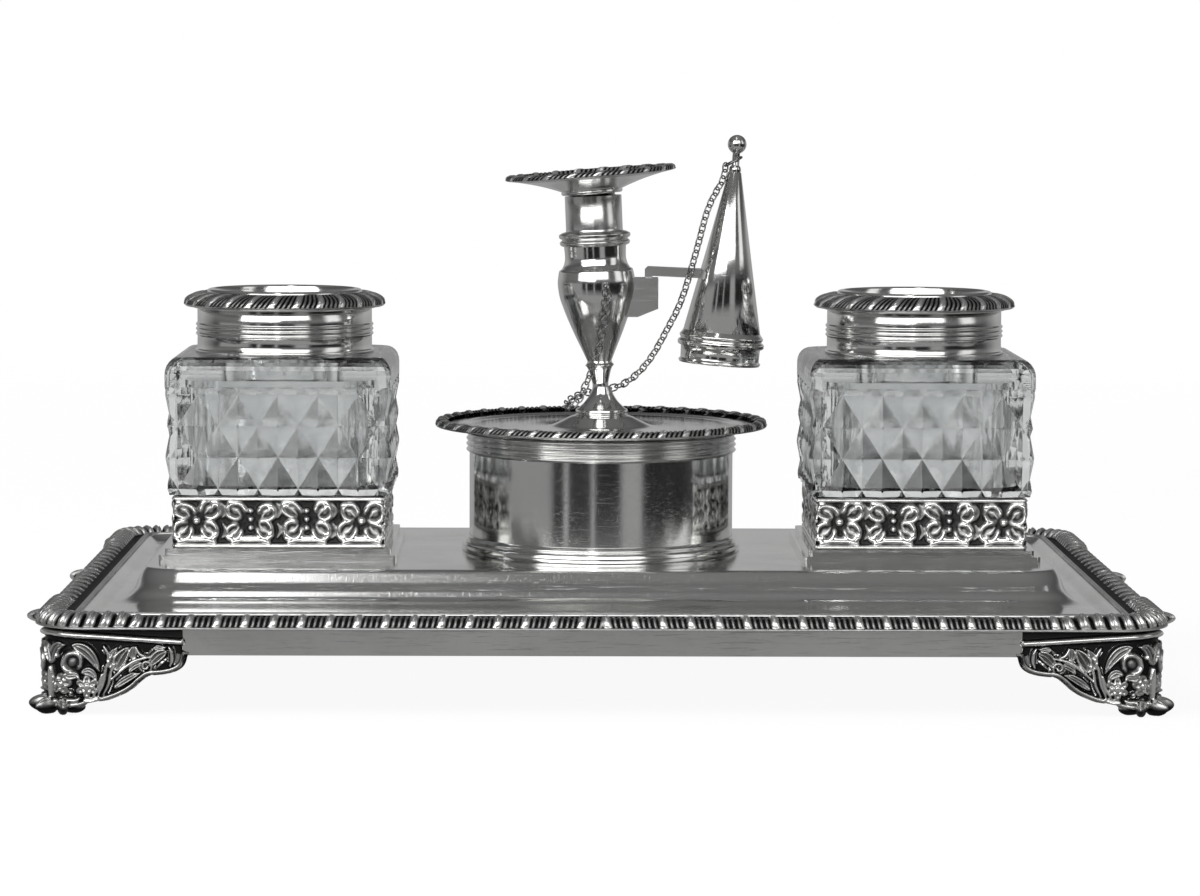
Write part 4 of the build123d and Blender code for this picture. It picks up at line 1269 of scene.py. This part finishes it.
# %% Nozzle
nozzle = (-2.15, 124.0, -4.6)
tube_profile = crisped(
    [
        (5.2, 1.6), (5.2, -10.2), (0.02, -10.2), (0.02, -11.0), (6.0, -11.0), (6.0, 0),
        (7.8, 0), (8.15, 0.4), (8.0, 1.0),
    ]
)
turned("nozzle_barrel", nozzle, tube_profile, "nozzle", "nozzle_tube", 96)
pan_profile = np.vstack(
    [
        smooth_through([(7.9, 0.9), (10.5, 1.9), (14.5, 3.2), (19.8, 4.5)], 6),
        smooth_through([(19.8, 5.2), (14.0, 3.9), (8.5, 2.2), (5.25, 1.65)], 6),
    ]
)
turned("nozzle_dish", nozzle, pan_profile, "nozzle", "nozzle_pan", 128)
pan_lower = crisped([(19.4, 4.4), (21.6, 4.75), (22.2, 4.9)])
pan_curve = smooth_through([(22.6, 5.1), (22.55, 5.8), (21.6, 6.4), (20.4, 6.4), (19.4, 5.3)], 6)
gadroon_rim(
    "nozzle_gadroon", nozzle, pan_lower, pan_curve, "nozzle", "nozzle_rim", 1000,
    repeats=20, slant=-0.4, depth=0.6,
)
print("nozzle ready")

# %% [markdown]
# ## Extinguisher
# A plain cone with a moulded foot, leaning the other way on its hook. The ball on top is for
# finger and thumb. Its three parts are turned round one leaning axis, so they stay in line.

# %% Extinguisher
snuffer = (31.7, 79.1, 4.3)
foot_rings = np.vstack(
    [
        crisped([(9.3, 8.5), (9.3, 0.0), (10.6, 0.0), (10.9, 0.6), (10.4, 1.2), (10.4, 4.1)])[:-1],
        smooth_through([(10.5, 4.3), (11.4, 4.9), (11.45, 5.6), (10.7, 6.4)], 5),
        smooth_through([(10.75, 6.5), (11.1, 7.2), (10.6, 8.0), (10.2, 8.6)], 5),
    ]
)
turned("snuffer_foot", snuffer, foot_rings, "extinguisher", "extinguisher_rim", 128)
cone_profile = crisped(
    [(0.02, 45.0), (9.2, 8.7), (10.2, 8.6), (5.9, 29.7), (1.7, 50.8), (0.02, 50.85)]
)
turned("snuffer_cone", snuffer, cone_profile, "extinguisher", "extinguisher_cone", 128)
ball_radius, ball_height = 2.5, 58.2
ball = [
    (max(ball_radius * math.cos(angle), 0.02), ball_height + ball_radius * math.sin(angle))
    for angle in np.linspace(-1.16, 1.55, 14)
]
finial_profile = np.vstack(
    [
        smooth_through([(1.5, 50.8), (1.6, 51.5), (1.4, 52.2), (1.0, 52.6)], 4),
        [(1.0, 54.0), (1.0, 55.8)],
        ball,
    ]
)
turned("snuffer_ball", snuffer, finial_profile, "extinguisher", "extinguisher_finial", 64)
print("extinguisher ready")

# %% [markdown]
# ## Pieces that keep their imported shape
# Flat plates, wire links, the hook and the glass already have their true form, so they only
# take a finish. The hanging half of the chain is drawn out when the extinguisher is lifted. Here
# it is a plain copy of its node, which stands in for the node.

# %% Finishes on the imported pieces
finish_of = {part["node"]: part["material_slot"] for part in frame["record"]["subparts"]}
finish_of["hook_socket"] = finish_of["extinguisher_hook"] = "dull_silver"
finish_of["left_holder_base"] = finish_of["right_holder_base"] = "plain_silver"
for name, node in nodes.items():
    node.data.materials.clear()
    node.data.materials.append(finishes[finish_of[name]])
print("finished nodes:", len(nodes))

# %% The hanging chain
hanging = bpy.data.objects.new("chain_hanging", nodes["chain_upper"].data.copy())
bpy.context.scene.collection.objects.link(hanging)
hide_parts("chain_upper")
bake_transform(hanging)
print("pieces made:", len(made))

# %% [markdown]
# ## The studio
# Silver shows its surroundings more than itself, so the room is drawn for the metal: dim, with a
# tall window at the left of the camera, a softer light at its right and a narrow roof light.
# Light Path sends each kind of ray to its own picture. Camera rays see plain white, as in the
# photograph, glossy and transmitted rays see the room, and the rest see one even light. A
# photographed room would do too, but a drawn one keeps each highlight where it is wanted.

# %% Floor
floor_half = 3.0
floor_mesh = bpy.data.meshes.new("floor")
floor_corners = [(-1, -1, 0), (1, -1, 0), (1, 1, 0), (-1, 1, 0)]
floor_mesh.from_pydata(
    [(x * floor_half, y * floor_half, z) for x, y, z in floor_corners], [], [(0, 1, 2, 3)]
)
floor = bpy.data.objects.new("floor", floor_mesh)
bpy.context.scene.collection.objects.link(floor)
floor_shader = Shader("floor_white")
rays = "ShaderNodeLightPath"
seen = floor_shader.add(rays, output="Is Camera Ray")
through = floor_shader.add(rays, output="Is Transmission Ray")
mirrored = floor_shader.add(rays, output="Is Glossy Ray")
spot = floor_shader.add("ShaderNodeTexCoord", output="Object")
distance = floor_shader.add("ShaderNodeVectorMath", {"operation": "LENGTH"}, {0: spot}, output=1)
far = distance.over(0.26, 0.38)
fade = distance.over(0.30, 1.20)
chalk = floor_shader.add("ShaderNodeBsdfDiffuse", None, {"Color": (0.8, 0.8, 0.8, 1)})
paper = floor_shader.add("ShaderNodeEmission", None, {"Color": (1, 1, 1, 1), "Strength": 1.0})
table = floor_shader.add(
    "ShaderNodeEmission", None, {"Color": (0.29, 0.29, 0.29, 1), "Strength": 1.0}
)
clear = floor_shader.add("ShaderNodeBsdfTransparent")
whitened = floor_shader.add(
    "ShaderNodeMixShader", None, {0: (0.93 + 0.07 * fade) * seen, 1: chalk, 2: paper}
)
reflected = floor_shader.add("ShaderNodeMixShader", None, {0: far, 1: table, 2: clear})
open_floor = floor_shader.add(
    "ShaderNodeMixShader", None, {0: mirrored + through, 1: whitened, 2: reflected}
)
floor_shader.add("ShaderNodeOutputMaterial", None, {"Surface": open_floor})
floor_mesh.materials.append(floor_shader.material)
print("floor", 2 * floor_half, "m across")

# %% Places in the room
world = bpy.data.worlds.new("studio")
bpy.context.scene.world = world
world.use_nodes = True
sky = Shader("studio", world.node_tree)
direction = sky.add("ShaderNodeTexCoord", output="Generated")
east, north, high = sky.split(direction)
azimuth = sky.add("ShaderNodeMath", {"operation": "ARCTAN2"}, {0: east, 1: 0 - north})
degrees = azimuth * (180 / math.pi)


def between(value, low, high, soft):
    """1 between low and high, with soft edges."""
    return value.over(low - soft, low + soft) * (1 - value.over(high - soft, high + soft))


height_tones = [
    (0.0, 0.08), (0.40, 0.07), (0.485, 0.08), (0.52, 0.11), (0.60, 0.17), (0.70, 0.08),
    (0.84, 0.13), (1.0, 0.19),
]
height_tone = sky.add("ShaderNodeValToRGB", {"stops": height_tones}, {"Fac": high * 0.5 + 0.5})
tone = sky.add("ShaderNodeRGBToBW", None, {"Color": height_tone})
front = 1 - north.over(-0.3, 0.3)
lower = 1 - high.over(-0.02, 0.08)
behind = between(high, -0.4, 0.22, 0.06) * north.over(0.2, 0.7)

# %% Lights and shades of the room
# Degrees are 0 behind the camera and grow to its right
window = between(degrees, -56, -3.5, 1.5) * between(high, 0.16, 0.68, 0.02)
front_light = between(degrees, -8, 36, 3) * between(high, 0.26, 0.69, 0.03)
side_light = between(degrees, 60, 82, 4) * between(high, 0.10, 0.62, 0.03)
roof_light = between(east, -0.125, -0.066, 0.006) * between(north, -0.50, 0.12, 0.04)
roof_light = roof_light * high.over(0.5, 0.6)
low_left = between(degrees, -92, -44, 3) * (1 - high.over(-0.02, 0.06))
low_right = between(degrees, 17, 35, 2) * (1 - high.over(0.0, 0.1))
streaks = between(degrees, -33, -29, 1) + between(degrees, -9, -6, 1)
shade = between(degrees, -43, 15, 2) + between(degrees, 37, 100, 2)
room = tone * (1 - 0.8 * shade * lower * front) + 0.28 * behind
room = room + 2.6 * window + 0.8 * side_light + 0.2 * low_left + 0.24 * low_right
room = room + 2.8 * roof_light + 2.2 * front_light
room = room + 0.4 * streaks * lower * front
through_glass = sky.add(rays, output="Is Transmission Ray")
room = room + through_glass * (0.10 + 0.6 * room)
print("room drawn")

# %% World
room_light = sky.add("ShaderNodeBackground", None, {"Color": (1, 1, 1, 1), "Strength": room})
soft_light = sky.add("ShaderNodeBackground", None, {"Color": (1, 1, 1, 1), "Strength": 0.75})
white = sky.add("ShaderNodeBackground", None, {"Color": (1, 1, 1, 1), "Strength": 1.0})
camera_ray = sky.add(rays, output="Is Camera Ray")
glossy = sky.add(rays, output="Is Glossy Ray") + through_glass
lit = sky.add("ShaderNodeMixShader", None, {0: glossy, 1: soft_light, 2: room_light})
shown = sky.add("ShaderNodeMixShader", None, {0: camera_ray, 1: lit, 2: white})
sky.add("ShaderNodeOutputWorld", None, {"Surface": shown})
print("world ready")

# %% [markdown]
# ### The lamp
# One area lamp above and to the left gives the soft shadow on the table. Glossy rays don't see
# it, because the room already holds what the silver mirrors.

# %% Lamp and view
lamp_data = bpy.data.lights.new("softbox", "AREA")
lamp_data.shape = "RECTANGLE"
lamp_data.size = 0.7
lamp_data.size_y = 0.5
lamp_data.energy = 9.0
lamp = bpy.data.objects.new("softbox", lamp_data)
lamp.location = (-0.55, -0.35, 0.85)
lamp.rotation_euler = (Vector((0, 0, 0.05)) - lamp.location).to_track_quat("-Z", "Y").to_euler()
lamp.visible_glossy = False
bpy.context.scene.collection.objects.link(lamp)

bpy.context.scene.view_settings.view_transform = "Standard"
print("lamp at", tuple(lamp.location))
